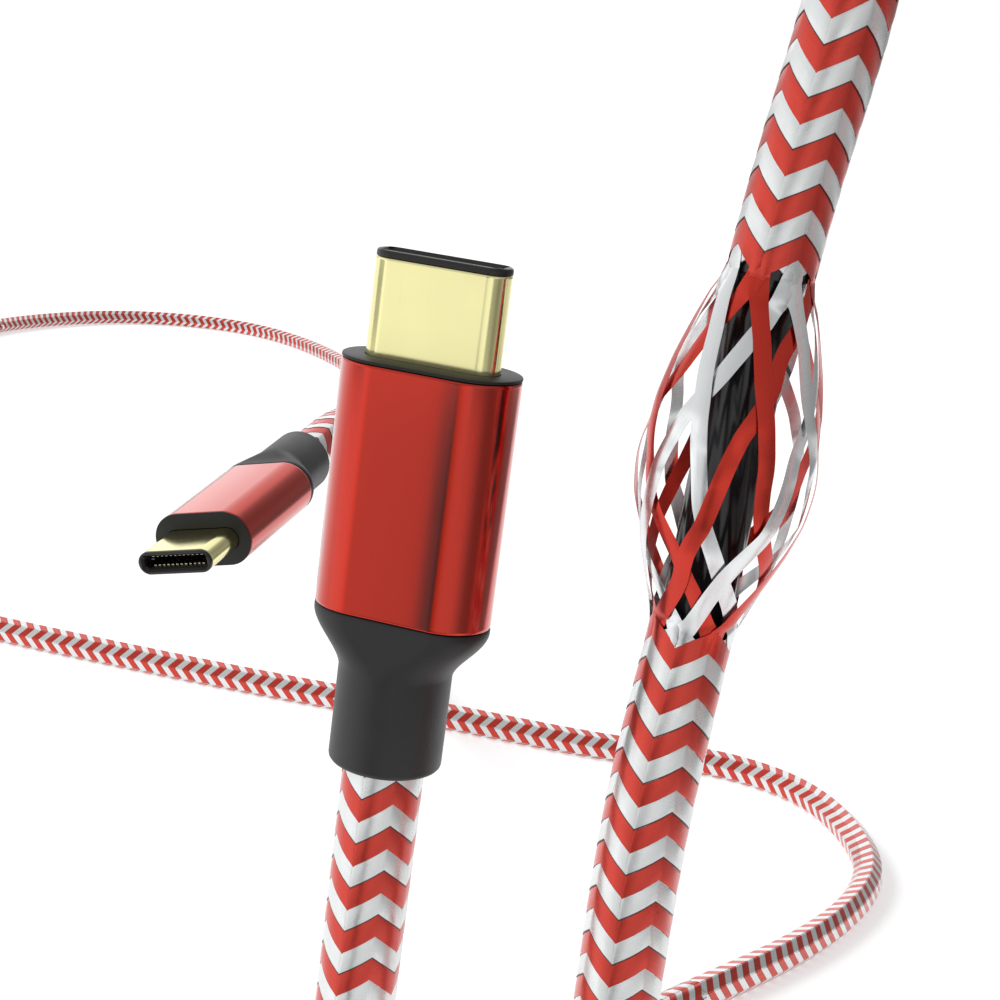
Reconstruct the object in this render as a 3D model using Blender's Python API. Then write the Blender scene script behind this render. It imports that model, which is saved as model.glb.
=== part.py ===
"""Braided charging cable with a reversible plug on each end.

The near plug stands upright, mouth up. Its frame is the frame of the whole part: the origin is the
centre of the overmould's end face, +Z points out of the mouth, X is across the plug and Y through it.
The cable hangs from it, rises outside on the right, comes down again as the strand whose braid is
opened to show the core, and runs over the floor to the far plug. All sizes are in metres.
"""
import math

import bmesh
import bpy
import numpy as np
from mathutils import Euler, Matrix, Vector

# Clearances: between pieces that meet, and between the tiny pieces inside a plug.
GAP = 0.0003
FIT = 0.00005

# Plug shell and the black housing that lines it and rims its mouth.
SHELL_WIDTH = 0.00825
SHELL_HEIGHT = 0.00240
SHELL_WALL = 0.00027
SHELL_EXPOSED = 0.00575
SHELL_BURIED = 0.0055
MOUTH_RIM = 0.00045
MOUTH_WIDTH = 0.0069
MOUTH_HEIGHT = 0.00126
HOUSING_BURIED = 0.0006

# Contacts: twelve fingers a row, with tails that lie on the board.
CONTACT_COUNT = 12
CONTACT_PITCH = 0.0005
CONTACT_WIDTH = 0.00025
CONTACT_THICKNESS = 0.00014
CONTACT_SETBACK = 0.0009
CONTACT_TAIL = 0.0012
CARRIER_LENGTH = 0.0004

# Holders between the two rows, and the latch plate between the holders.
HOLDER_LENGTH = 0.0046
HOLDER_WIDTH = 0.0068
LATCH_THICKNESS = 0.00016
LATCH_ARM_WIDTH = 0.0002
LATCH_HOOK = 0.00012
LATCH_SETBACK = 0.0014

# Grounding springs, in pockets of the housing just behind the rim.
SPRING_WIDTH = 0.0050
SPRING_LENGTH = 0.0011
SPRING_THICKNESS = 0.00008
SPRING_LEG = 0.0009

# Circuit board with its marker chip. The board fills the can's width but for a clearance at each side,
# and ends this far in front of the sleeve's rear edge.
BOARD_THICKNESS = 0.0008
BOARD_SIDE_CLEARANCE = 0.0001
BOARD_REAR_MARGIN = 0.0027
BOARD_NOTCH = 0.0006
CHIP_WIDTH = 0.0021
CHIP_LENGTH = 0.0017
CHIP_HEIGHT = 0.0006
CHIP_SETBACK = 0.0028

# Shield can, in an upper and a lower half, behind the shell and inside the mould's wall.
CAN_WALL = 0.0002
CAN_CORNER = 0.0013
CAN_REAR_MARGIN = 0.0031

# Inner mould, grip sleeve and strain relief.
MOULD_SIDE_WALL = 0.00045
MOULD_FACE_WALL = 0.0008
GRIP_WIDTH = 0.0109
GRIP_HEIGHT = 0.0058
GRIP_WALL = 0.0004
GRIP_LENGTH = 0.0149
END_FACE_THICKNESS = 0.00018
SPIGOT_LENGTH = 0.0021
RELIEF_SHOULDER = 0.0004
RELIEF_TAPER = 0.0031
RELIEF_NECK_DIAMETER = 0.0069
RELIEF_NECK_LENGTH = 0.0060
RELIEF_EDGE = 0.00035

# Cable, its end inside the plug, and the wires that go on to the board.
CABLE_DIAMETER = 0.0050
CABLE_END_INSIDE = 0.0080
CRIMP_THICKNESS = 0.0003
CRIMP_LENGTH = 0.0030
WIRE_DIAMETER = 0.0008
WIRE_OVERLAP = 0.0010
WIRE_SPREAD = 0.0018
WIRE_START_SPREAD = 0.0009

# Where the far plug is held, and how it is turned.
FAR_PLUG_PLACE = (-0.0469, 0.0709, -0.0356)
FAR_PLUG_TURN_DEGREES = (100.1, -14.7, -2.1)

# The window in the braid: its core, and the tapes that bow out around it.
CORE_DIAMETER = 0.0038
TAPES_PER_HAND = 8
TAPE_WIDTH = 0.0012
TAPE_THICKNESS = 0.00016
TAPE_CLEARANCE = 0.00012
WINDOW_DIAMETER = 0.0103
WINDOW_COLLAR = 0.0009
TAPE_TURN_DEGREES = 135
TAPE_STEPS = 18

# The route of the cable's centre line, from plug to plug. Its first and last points come from the
# plugs. The floor that the cable lies on is CABLE_DIAMETER / 2 below the lowest points.
NEAR_DROP = [
    (0.0000, 0.0000, -0.042), (0.0000, 0.0000, -0.060), (0.0002, -0.0015, -0.078),
    (0.0015, -0.0085, -0.0950), (0.0050, -0.0220, -0.1075), (0.0120, -0.0390, -0.112),
    (0.0240, -0.0540, -0.112), (0.0410, -0.0600, -0.112), (0.0570, -0.0540, -0.112),
    (0.0655, -0.0380, -0.1115), (0.0650, -0.0210, -0.1055), (0.0605, -0.0080, -0.092),
    (0.0565, -0.0005, -0.073), (0.0540, 0.0020, -0.048), (0.0532, 0.0020, -0.016),
]
STRAND_UPPER = [
    (0.0531, 0.0018, 0.016), (0.0529, 0.0016, 0.036), (0.0482, 0.0015, 0.0475),
    (0.0367, 0.0014, 0.0523), (0.0253, 0.0013, 0.0475), (0.0209, 0.0013, 0.037),
    (0.0204, 0.0015, 0.0245), (0.0193, 0.0018, 0.0160),
]
WINDOW_TOP = (0.01835, 0.00205, 0.0084)
WINDOW_BOTTOM = (0.01695, 0.00245, -0.0130)
STRAND_LOWER = [
    (0.0161, 0.0025, -0.0240), (0.0159, 0.0027, -0.038), (0.0158, 0.0034, -0.056),
    (0.0156, 0.0060, -0.077), (0.0145, 0.0135, -0.0960), (0.0125, 0.0280, -0.1080),
    (0.0085, 0.0460, -0.112), (0.0010, 0.0700, -0.112), (-0.0065, 0.0930, -0.112),
    (-0.0105, 0.1150, -0.112), (-0.0092, 0.1345, -0.112),
]
RIGHT_LOOP = [
    (-0.0028, 0.1520, -0.112), (0.0079, 0.1767, -0.112), (0.0133, 0.1965, -0.112),
    (0.0138, 0.2136, -0.112), (0.0073, 0.2307, -0.112), (-0.0033, 0.2428, -0.112),
    (-0.0173, 0.2470, -0.112), (-0.0383, 0.2428, -0.112), (-0.0714, 0.2383, -0.112),
    (-0.0938, 0.2347, -0.112), (-0.1204, 0.2313, -0.112), (-0.1419, 0.2294, -0.112),
    (-0.1633, 0.2280, -0.112),
]
LEFT_ARC = [
    (-0.2060, 0.2290, -0.112), (-0.2480, 0.2400, -0.112), (-0.2830, 0.2660, -0.112),
    (-0.3080, 0.3050, -0.112), (-0.3240, 0.3550, -0.112), (-0.3345, 0.4100, -0.112),
    (-0.3410, 0.4630, -0.112), (-0.3437, 0.5130, -0.112),
]
FAR_ARC = [
    (-0.3376, 0.5473, -0.112), (-0.3203, 0.5800, -0.112), (-0.2865, 0.5968, -0.112),
    (-0.2564, 0.5864, -0.112), (-0.2335, 0.5674, -0.112), (-0.2046, 0.5334, -0.112),
    (-0.1777, 0.4858, -0.112), (-0.1507, 0.4247, -0.112), (-0.1265, 0.3610, -0.112),
    (-0.1049, 0.2990, -0.112),
]
FAR_RISE = [
    (-0.0940, 0.2680, -0.1105), (-0.0840, 0.2400, -0.1040), (-0.0740, 0.2110, -0.0920),
    (-0.0640, 0.1800, -0.0745), (-0.0555, 0.1520, -0.0545), (-0.0500, 0.1290, -0.0385),
]
CHORD_ERROR = 0.0008
LONGEST_CHORD = 0.060
SQUARE_END = 0.0012

OUTLINE_POINTS = 7


# ---------------------------------------------------------------- materials and meshes

def material(name, colour, roughness, metallic=0.0):
    made = bpy.data.materials.new(name)
    made.use_nodes = True
    shader = made.node_tree.nodes["Principled BSDF"]
    shader.inputs["Base Color"].default_value = (*colour, 1.0)
    shader.inputs["Roughness"].default_value = roughness
    shader.inputs["Metallic"].default_value = metallic
    made.diffuse_color = (*colour, 1.0)
    return made


def outline(width, height, radius):
    """A rounded rectangle about the axis, anticlockwise: its corners' arcs have OUTLINE_POINTS each.

    The arcs are drawn just outside the true radius, so that every edge touches the true outline."""
    half_step = math.pi / 4 / OUTLINE_POINTS
    drawn = radius / math.cos(half_step)
    angles = (2 * np.arange(OUTLINE_POINTS) + 1) * half_step
    corners = []
    for quarter, (side_x, side_y) in enumerate(((1, 1), (-1, 1), (-1, -1), (1, -1))):
        turned = angles + quarter * math.pi / 2
        centre = np.array([side_x * (width / 2 - radius), side_y * (height / 2 - radius)])
        corners.append(centre + drawn * np.column_stack((np.cos(turned), np.sin(turned))))
    return np.concatenate(corners)


def stadium(width, height):
    return outline(width, height, height / 2)


def circle(diameter):
    return outline(diameter, diameter, diameter / 2)


def mesh_from(name, points, faces):
    """A mesh with its faces turned outwards."""
    mesh = bpy.data.meshes.new(name)
    mesh.from_pydata([tuple(point) for point in points], [], faces)
    work = bmesh.new()
    work.from_mesh(mesh)
    bmesh.ops.recalc_face_normals(work, faces=work.faces)
    work.to_mesh(mesh)
    work.free()
    mesh.shade_smooth()
    mesh.set_sharp_from_angle(angle=math.radians(35))
    return mesh


def lofted(name, sections, tube=False):
    """A body through sections (outline, z). A tube runs down its outside and back up its inside, and
    its last section joins its first; any other body is capped at both ends."""
    count = len(sections[0][0])
    points = [(x, y, z) for shape, z in sections for x, y in shape]
    faces = []
    for ring in range(len(sections) if tube else len(sections) - 1):
        low, high = ring * count, (ring + 1) % len(sections) * count
        for at in range(count):
            after = (at + 1) % count
            faces.append((low + at, low + after, high + after, high + at))
    if not tube:
        faces.append(tuple(range(count)))
        faces.append(tuple(range((len(sections) - 1) * count, len(sections) * count)))
    return mesh_from(name, points, faces)


def plate(name, edge, low, high):
    """A flat piece: its edge is a list of (x, z), and it reaches from low to high along Y."""
    count = len(edge)
    points = [(x, low, z) for x, z in edge] + [(x, high, z) for x, z in edge]
    faces = [(at, (at + 1) % count, count + (at + 1) % count, count + at) for at in range(count)]
    faces.append(tuple(range(count)))
    faces.append(tuple(range(count, 2 * count)))
    return mesh_from(name, points, faces)


def half_can(name, low, high):
    """The upper half of the shield can: a trough open towards y = 0 that runs from low to high along
    Z. Its walls follow the upper half of the can's rounded outline, outside and then back inside."""
    outside = outline(CAN_WIDTH, CAN_HEIGHT, CAN_CORNER)[:2 * OUTLINE_POINTS]
    inside = outline(CAN_WIDTH - 2 * CAN_WALL, CAN_HEIGHT - 2 * CAN_WALL, CAN_CORNER - CAN_WALL)
    outer_x, inner_x = CAN_WIDTH / 2, CAN_WIDTH / 2 - CAN_WALL
    edge = [(outer_x, FIT), *outside, (-outer_x, FIT), (-inner_x, FIT),
            *inside[:2 * OUTLINE_POINTS][::-1], (inner_x, FIT)]
    count = len(edge)
    points = [(x, y, z) for z in (low, high) for x, y in edge]
    faces = [(at, (at + 1) % count, count + (at + 1) % count, count + at) for at in range(count)]
    faces.append(tuple(range(count)))
    faces.append(tuple(range(count, 2 * count)))
    return mesh_from(name, points, faces)


def add(name, data, finish, parent=None, turned=False):
    """Puts a piece in the scene. A turned one is swung half a turn about the plug's axis."""
    piece = bpy.data.objects.new(name, data)
    bpy.context.scene.collection.objects.link(piece)
    if not data.materials:
        data.materials.append(finish)
    piece.parent = parent
    if turned:
        piece.rotation_euler = (0, 0, math.pi)
    return piece


def tube(name, points, diameter, finish, parent=None, bevel_resolution=2):
    """A round cord along points, with closed ends."""
    curve = bpy.data.curves.new(name, "CURVE")
    curve.dimensions = "3D"
    curve.bevel_depth = diameter / 2
    curve.bevel_resolution = bevel_resolution
    curve.use_fill_caps = True
    spline = curve.splines.new("POLY")
    spline.points.add(len(points) - 1)
    for slot, point in zip(spline.points, points):
        slot.co = (*point, 1.0)
    return add(name, curve, finish, parent)


# ---------------------------------------------------------------- the plug

MOUTH_Z = SHELL_EXPOSED + MOUTH_RIM
HOUSING_WIDTH = SHELL_WIDTH - 2 * (SHELL_WALL + FIT)
HOUSING_HEIGHT = SHELL_HEIGHT - 2 * (SHELL_WALL + FIT)
CONTACT_OUTER = MOUTH_HEIGHT / 2 - FIT
CONTACT_INNER = CONTACT_OUTER - CONTACT_THICKNESS
CONTACT_ROW_WIDTH = (CONTACT_COUNT - 1) * CONTACT_PITCH + CONTACT_WIDTH
HOLDER_FRONT_Z = -HOUSING_BURIED
HOLDER_BACK_Z = HOLDER_FRONT_Z - HOLDER_LENGTH
GRIP_BACK_Z = -END_FACE_THICKNESS - FIT - GRIP_LENGTH
MOULD_WIDTH = GRIP_WIDTH - 2 * (GRIP_WALL + FIT)
MOULD_HEIGHT = GRIP_HEIGHT - 2 * (GRIP_WALL + FIT)
SPIGOT_FRONT_Z = GRIP_BACK_Z + SPIGOT_LENGTH
CAVITY_WIDTH = MOULD_WIDTH - 2 * MOULD_SIDE_WALL
CAVITY_HEIGHT = MOULD_HEIGHT - 2 * MOULD_FACE_WALL
CAVITY_FRONT_Z = -SHELL_BURIED - FIT
CAN_WIDTH = CAVITY_WIDTH - 2 * FIT
CAN_HEIGHT = CAVITY_HEIGHT - 2 * FIT
CAN_FRONT_Z = CAVITY_FRONT_Z - FIT
CAN_BACK_Z = GRIP_BACK_Z + CAN_REAR_MARGIN
BOARD_FRONT_Z = min(-SHELL_BURIED, HOLDER_BACK_Z) - GAP
BOARD_BACK_Z = GRIP_BACK_Z + BOARD_REAR_MARGIN
BOARD_WIDTH = CAN_WIDTH - 2 * (CAN_WALL + BOARD_SIDE_CLEARANCE)
RELIEF_TOP_Z = GRIP_BACK_Z - FIT
RELIEF_TAPER_Z = RELIEF_TOP_Z - RELIEF_SHOULDER
RELIEF_NECK_Z = RELIEF_TAPER_Z - RELIEF_TAPER
CABLE_EXIT_Z = RELIEF_NECK_Z - RELIEF_NECK_LENGTH
CABLE_END_Z = CABLE_EXIT_Z + CABLE_END_INSIDE
CRIMP_INNER_DIAMETER = CABLE_DIAMETER + 2 * FIT
CRIMP_OUTER_DIAMETER = CRIMP_INNER_DIAMETER + 2 * CRIMP_THICKNESS
CRIMP_TOP_Z = CABLE_END_Z - FIT
CRIMP_BOTTOM_Z = CRIMP_TOP_Z - CRIMP_LENGTH


def contact_edge():
    """The comb of one contact row, seen flat: fingers towards the mouth, tails towards the board."""
    tip = MOUTH_Z - CONTACT_SETBACK
    front = HOLDER_FRONT_Z - FIT
    back = front - CARRIER_LENGTH
    tail = BOARD_FRONT_Z - CONTACT_TAIL
    centres = (np.arange(CONTACT_COUNT) - (CONTACT_COUNT - 1) / 2) * CONTACT_PITCH
    half = CONTACT_WIDTH / 2
    fingers = [(x, z) for c in centres
               for x, z in ((c - half, front), (c - half, tip), (c + half, tip), (c + half, front))]
    tails = [(x, z) for c in centres[::-1]
             for x, z in ((c + half, back), (c + half, tail), (c - half, tail), (c - half, back))]
    return fingers + tails


def latch_edge():
    """The latch plate, seen flat: a base between the holders, and an arm up each side of the mouth."""
    outer = MOUTH_WIDTH / 2 - 2 * FIT
    inner = outer - LATCH_ARM_WIDTH
    tip = MOUTH_Z - LATCH_SETBACK
    hook = tip - 2 * LATCH_ARM_WIDTH
    half = [(0, HOLDER_FRONT_Z), (inner, HOLDER_FRONT_Z), (inner, hook), (inner - LATCH_HOOK, tip),
            (outer, tip), (outer, HOLDER_BACK_Z), (0, HOLDER_BACK_Z)]
    return half + [(-x, z) for x, z in half[-2:0:-1]]


def spring_edge():
    """A grounding spring, seen flat: a bar with a leg at each end and one in the middle."""
    front = SHELL_EXPOSED - 2 * GAP
    bar = front - (SPRING_LENGTH - SPRING_LEG) - SPRING_LEG / 2
    back = front - SPRING_LENGTH
    half = SPRING_WIDTH / 2
    leg = SPRING_WIDTH / 10
    return [(-half, front), (-half, back), (leg - half, back), (leg - half, bar), (-leg / 2, bar),
            (-leg / 2, back), (leg / 2, back), (leg / 2, bar), (half - leg, bar), (half - leg, back),
            (half, back), (half, front)]


def board_edge():
    """The board, seen flat, with a notch in each side where the can's tabs pass."""
    side, notch = BOARD_WIDTH / 2, BOARD_NOTCH
    middle = (BOARD_FRONT_Z + BOARD_BACK_Z) / 2
    half = [(side, BOARD_FRONT_Z), (side, middle + notch), (side - notch, middle + notch),
            (side - notch, middle - notch), (side, middle - notch), (side, BOARD_BACK_Z)]
    return half + [(-x, z) for x, z in half[::-1]]


def rectangle(width, front, back):
    return [(-width / 2, front), (width / 2, front), (width / 2, back), (-width / 2, back)]


def housing_sections():
    """The housing, with a shallow step behind the rim where the grounding springs lie."""
    inside_height = HOUSING_HEIGHT - 2 * (SPRING_THICKNESS + FIT)
    step_front = SHELL_EXPOSED - GAP
    step_back = SHELL_EXPOSED - SPRING_LENGTH - 3 * GAP
    rim = stadium(SHELL_WIDTH, SHELL_HEIGHT)
    body = stadium(HOUSING_WIDTH, HOUSING_HEIGHT)
    step = outline(HOUSING_WIDTH - 2 * (SPRING_THICKNESS + FIT), inside_height, inside_height / 2)
    mouth = outline(MOUTH_WIDTH, MOUTH_HEIGHT, MOUTH_HEIGHT / 4)
    back = -HOUSING_BURIED + FIT
    return [(rim, MOUTH_Z), (rim, SHELL_EXPOSED + FIT), (body, SHELL_EXPOSED + FIT),
            (body, step_front), (step, step_front), (step, step_back), (body, step_back),
            (body, back), (mouth, back), (mouth, MOUTH_Z)]


def shell_sections():
    outside = stadium(SHELL_WIDTH, SHELL_HEIGHT)
    inside = stadium(SHELL_WIDTH - 2 * SHELL_WALL, SHELL_HEIGHT - 2 * SHELL_WALL)
    return [(outside, SHELL_EXPOSED), (outside, -SHELL_BURIED), (inside, -SHELL_BURIED),
            (inside, SHELL_EXPOSED)]


def mould_sections():
    """The inner mould: its end face, its body inside the sleeve, the cavity for the can, and in front
    of it the slot that holds the shell."""
    face = stadium(GRIP_WIDTH, GRIP_HEIGHT)
    body = stadium(MOULD_WIDTH, MOULD_HEIGHT)
    cavity = outline(CAVITY_WIDTH, CAVITY_HEIGHT, CAN_CORNER + FIT)
    slot = stadium(SHELL_WIDTH + 2 * FIT, SHELL_HEIGHT + 2 * FIT)
    back = SPIGOT_FRONT_Z + FIT
    return [(face, 0), (face, -END_FACE_THICKNESS), (body, -END_FACE_THICKNESS), (body, back),
            (cavity, back), (cavity, CAVITY_FRONT_Z), (slot, CAVITY_FRONT_Z), (slot, 0)]


def sleeve_sections():
    outside = stadium(GRIP_WIDTH, GRIP_HEIGHT)
    inside = stadium(GRIP_WIDTH - 2 * GRIP_WALL, GRIP_HEIGHT - 2 * GRIP_WALL)
    top = -END_FACE_THICKNESS - FIT
    return [(outside, top), (outside, GRIP_BACK_Z), (inside, GRIP_BACK_Z), (inside, top)]


def relief_sections():
    """The strain relief: a spigot in the sleeve, a shoulder, a taper into a round neck, and inside it
    a funnel, a seat for the crimp ring and the cable's bore."""
    spigot = stadium(MOULD_WIDTH, MOULD_HEIGHT)
    neck = circle(RELIEF_NECK_DIAMETER)
    sections = [(spigot, SPIGOT_FRONT_Z), (spigot, RELIEF_TOP_Z)]
    steps = 5
    for step in range(steps + 1):
        share = step / steps
        blend = share * share * (3 - 2 * share)
        width = GRIP_WIDTH + blend * (RELIEF_NECK_DIAMETER - GRIP_WIDTH)
        height = GRIP_HEIGHT + blend * (RELIEF_NECK_DIAMETER - GRIP_HEIGHT)
        if step == 0:
            sections.append((stadium(width, height), RELIEF_TOP_Z))
        sections.append((outline(width, height, min(width, height) / 2),
                         RELIEF_TAPER_Z - share * RELIEF_TAPER))
    crimp_seat = circle(CRIMP_OUTER_DIAMETER + 2 * FIT)
    bore = circle(CABLE_DIAMETER + 2 * FIT)
    sections += [(neck, CABLE_EXIT_Z + RELIEF_EDGE),
                 (circle(RELIEF_NECK_DIAMETER - 2 * RELIEF_EDGE), CABLE_EXIT_Z),
                 (bore, CABLE_EXIT_Z), (bore, CRIMP_BOTTOM_Z - FIT),
                 (crimp_seat, CRIMP_BOTTOM_Z - FIT), (crimp_seat, CRIMP_TOP_Z + FIT)]
    cavity = outline(CAVITY_WIDTH, CAVITY_HEIGHT, CAN_CORNER + FIT)
    sections += [(cavity, RELIEF_TOP_Z), (cavity, SPIGOT_FRONT_Z)]
    return sections


def crimp_sections():
    outside, inside = circle(CRIMP_OUTER_DIAMETER), circle(CRIMP_INNER_DIAMETER)
    return [(outside, CRIMP_TOP_Z), (outside, CRIMP_BOTTOM_Z), (inside, CRIMP_BOTTOM_Z),
            (inside, CRIMP_TOP_Z)]


def plug_meshes():
    """The meshes of one plug, which the two plugs share, by the name of the piece."""
    board_face = BOARD_THICKNESS / 2
    holder_low = LATCH_THICKNESS / 2 + FIT
    holder_high = CONTACT_INNER - FIT
    holder_edge = rectangle(HOLDER_WIDTH, HOLDER_FRONT_Z, HOLDER_BACK_Z)
    chip_front = BOARD_FRONT_Z - CHIP_SETBACK
    chip_edge = rectangle(CHIP_WIDTH, chip_front, chip_front - CHIP_LENGTH)
    half_latch = LATCH_THICKNESS / 2
    spring_high = HOUSING_HEIGHT / 2 - FIT / 2
    cable_end = [(circle(CABLE_DIAMETER), CABLE_END_Z), (circle(CABLE_DIAMETER), CABLE_EXIT_Z)]
    return {
        "shell": lofted("shell", shell_sections(), tube=True),
        "mouth_housing": lofted("mouth_housing", housing_sections(), tube=True),
        "contact_row": plate("contact_row", contact_edge(), CONTACT_INNER, CONTACT_OUTER),
        "contact_holder": plate("contact_holder", holder_edge, holder_low, holder_high),
        "latch_plate": plate("latch_plate", latch_edge(), -half_latch, half_latch),
        "ground_spring": plate("ground_spring", spring_edge(), spring_high - SPRING_THICKNESS,
                               spring_high),
        "circuit_board": plate("circuit_board", board_edge(), -board_face, board_face),
        "marker_chip": plate("marker_chip", chip_edge, board_face + FIT,
                             board_face + FIT + CHIP_HEIGHT),
        "shield_can": half_can("shield_can", CAN_BACK_Z, CAN_FRONT_Z),
        "inner_mould": lofted("inner_mould", mould_sections(), tube=True),
        "grip_sleeve": lofted("grip_sleeve", sleeve_sections(), tube=True),
        "strain_relief": lofted("strain_relief", relief_sections(), tube=True),
        "crimp_ring": lofted("crimp_ring", crimp_sections(), tube=True),
        "cable_end": lofted("cable_end", cable_end),
    }


def wire_points(side_x, side_y):
    """One wire: from the cable's end it spreads out and lies down on the board's rear edge."""
    board_y = BOARD_THICKNESS / 2 + FIT + WIRE_DIAMETER / 2
    start_z = CABLE_END_Z + GAP
    end_z = BOARD_BACK_Z + WIRE_OVERLAP
    start = (side_x * WIRE_START_SPREAD, side_y * board_y, start_z)
    leave = (side_x * WIRE_START_SPREAD, side_y * board_y, start_z + 0.25 * (end_z - start_z))
    arrive = (side_x * WIRE_SPREAD, side_y * board_y, start_z + 0.70 * (end_z - start_z))
    end = (side_x * WIRE_SPREAD, side_y * board_y, end_z)
    return [start, leave, arrive, end]


def add_plug(prefix, meshes, finishes, place):
    """One plug, on an empty that holds its place. Pieces in pairs have their twin swung half a turn."""
    carrier = bpy.data.objects.new(f"{prefix}_plug_place", None)
    bpy.context.scene.collection.objects.link(carrier)
    carrier.matrix_world = place
    for name, mesh in meshes.items():
        finish = finishes[name]
        if name in ("contact_row", "contact_holder", "ground_spring", "shield_can"):
            add(f"{prefix}_{name}_upper", mesh, finish, carrier)
            add(f"{prefix}_{name}_lower", mesh, finish, carrier, turned=True)
        else:
            add(f"{prefix}_{name}", mesh, finish, carrier)
    wires = (("power", 1, 1), ("ground", -1, 1), ("data_plus", 1, -1), ("data_minus", -1, -1))
    for wire, side_x, side_y in wires:
        tube(f"{prefix}_wire_{wire}", wire_points(side_x, side_y), WIRE_DIAMETER,
             finishes[f"wire_{wire}"], carrier, bevel_resolution=1)
    return carrier


# ---------------------------------------------------------------- the cable

def smooth_route(route):
    """A natural cubic spline through the route's points, with chord length as its parameter. It
    returns points close together along it."""
    route = np.asarray(route, float)
    chords = np.linalg.norm(np.diff(route, axis=0), axis=1)
    knots = np.concatenate(([0.0], np.cumsum(chords)))
    count = len(route)
    system = np.zeros((count, count))
    system[0, 0] = system[-1, -1] = 1.0
    right = np.zeros((count, 3))
    for at in range(1, count - 1):
        before, after = chords[at - 1], chords[at]
        system[at, at - 1:at + 2] = before, 2 * (before + after), after
        right[at] = 6 * ((route[at + 1] - route[at]) / after - (route[at] - route[at - 1]) / before)
    bends = np.linalg.solve(system, right)
    fine = []
    for at in range(count - 1):
        steps = max(2, int(math.ceil(chords[at] / 0.0005)))
        along = (np.arange(steps) / steps * chords[at])[:, None]
        left = chords[at] - along
        fine.append((bends[at] * left ** 3 + bends[at + 1] * along ** 3) / (6 * chords[at])
                    + (route[at] / chords[at] - bends[at] * chords[at] / 6) * left
                    + (route[at + 1] / chords[at] - bends[at + 1] * chords[at] / 6) * along)
    fine.append(route[-1:])
    return np.concatenate(fine)


def arc_lengths(fine):
    return np.concatenate(([0.0], np.cumsum(np.linalg.norm(np.diff(fine, axis=0), axis=1))))


def nearest_length(fine, lengths, point):
    return lengths[np.argmin(np.linalg.norm(fine - np.asarray(point), axis=1))]


def stretch_points(fine, lengths, start, end):
    """The points of one stretch: closer together where the route bends more, so that no chord strays
    from the curve by more than CHORD_ERROR. Its last SQUARE_END at each end is square to what it
    meets."""
    inside = (lengths > start) & (lengths < end)
    at = np.concatenate(([start], lengths[inside], [end]))
    curve = np.column_stack([np.interp(at, lengths, fine[:, axis]) for axis in range(3)])
    spacing = 0.004
    even = np.linspace(start, end, max(4, int((end - start) / spacing)))
    coarse = np.column_stack([np.interp(even, at, curve[:, axis]) for axis in range(3)])
    headings = np.diff(coarse, axis=0)
    headings /= np.linalg.norm(headings, axis=1)[:, None]
    turns = np.arccos(np.clip(np.sum(headings[1:] * headings[:-1], axis=1), -1, 1))
    bend = np.interp(even, even[1:-1], turns / (even[1] - even[0]))
    density = np.maximum(np.sqrt(bend / (8 * CHORD_ERROR)), 1 / LONGEST_CHORD)
    steps = (density[1:] + density[:-1]) / 2 * np.diff(even)
    need = np.concatenate(([0.0], np.cumsum(steps)))
    count = max(1, int(math.ceil(need[-1])))
    chosen = np.interp(np.linspace(0, need[-1], count + 1), need, even)
    chosen = np.concatenate(([start, start + SQUARE_END], chosen[1:-1], [end - SQUARE_END, end]))
    return np.column_stack([np.interp(chosen, at, curve[:, axis]) for axis in range(3)])


def window_radius(share, layer):
    """The radius of a tape's outer face, share of the way down the window; layer 0 is the outer."""
    collar = CABLE_DIAMETER / 2 - layer * (TAPE_THICKNESS + TAPE_CLEARANCE)
    widest = WINDOW_DIAMETER / 2 - layer * (TAPE_THICKNESS + TAPE_CLEARANCE)
    return collar + (widest - collar) * math.sin(math.pi * share) ** 1.1


def opened_braid(name, length, hand, layer):
    """Eight tapes that bow out and turn one way round the core, with a collar at each end.

    The collars and the tapes are one mesh: a tape goes on from its part of a collar's edge."""
    lean = math.cos(math.radians(27))
    half_length = length / 2
    free = length - 2 * WINDOW_COLLAR
    pitch = 2 * math.pi / TAPES_PER_HAND
    turn = hand * math.radians(TAPE_TURN_DEGREES)
    points, faces = [], []

    def ring_point(radius, angle, z):
        points.append((radius * math.cos(angle), radius * math.sin(angle), z))
        return len(points) - 1

    def edges(share, z):
        """For each tape, its four corners: outer and inner on its left, outer and inner on its right."""
        outer = window_radius(share, layer)
        inner = outer - TAPE_THICKNESS
        half_angle = TAPE_WIDTH / (2 * outer * lean)
        corners = []
        for tape in range(TAPES_PER_HAND):
            middle = tape * pitch + turn * (share - 0.5)
            corners.append([ring_point(radius, middle + side * half_angle, z)
                            for side in (-1, 1) for radius in (outer, inner)])
        return corners

    levels = [edges(0, half_length)]
    for step in range(TAPE_STEPS + 1):
        share = step / TAPE_STEPS
        levels.append(edges(share, half_length - WINDOW_COLLAR - share * free))
    levels.append(edges(1, -half_length))
    for low, (above, below) in enumerate(zip(levels, levels[1:])):
        in_collar = low in (0, len(levels) - 2)
        for tape in range(TAPES_PER_HAND):
            (a, b, c, d), (e, f, g, h) = above[tape], below[tape]
            faces += [(a, c, g, e), (b, f, h, d)]
            if in_collar:
                following = (tape + 1) % TAPES_PER_HAND
                (i, j, _, _), (k, l, _, _) = above[following], below[following]
                faces += [(c, i, k, g), (d, h, l, j)]
            else:
                faces += [(a, e, f, b), (c, d, h, g)]
    for level, all_round in ((0, True), (1, False), (-2, False), (-1, True)):
        for tape in range(TAPES_PER_HAND):
            a, b, c, d = levels[level][tape]
            i, j, _, _ = levels[level][(tape + 1) % TAPES_PER_HAND]
            faces.append((c, d, j, i))
            if all_round:
                faces.append((a, b, d, c))
    return mesh_from(name, points, faces)


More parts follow.
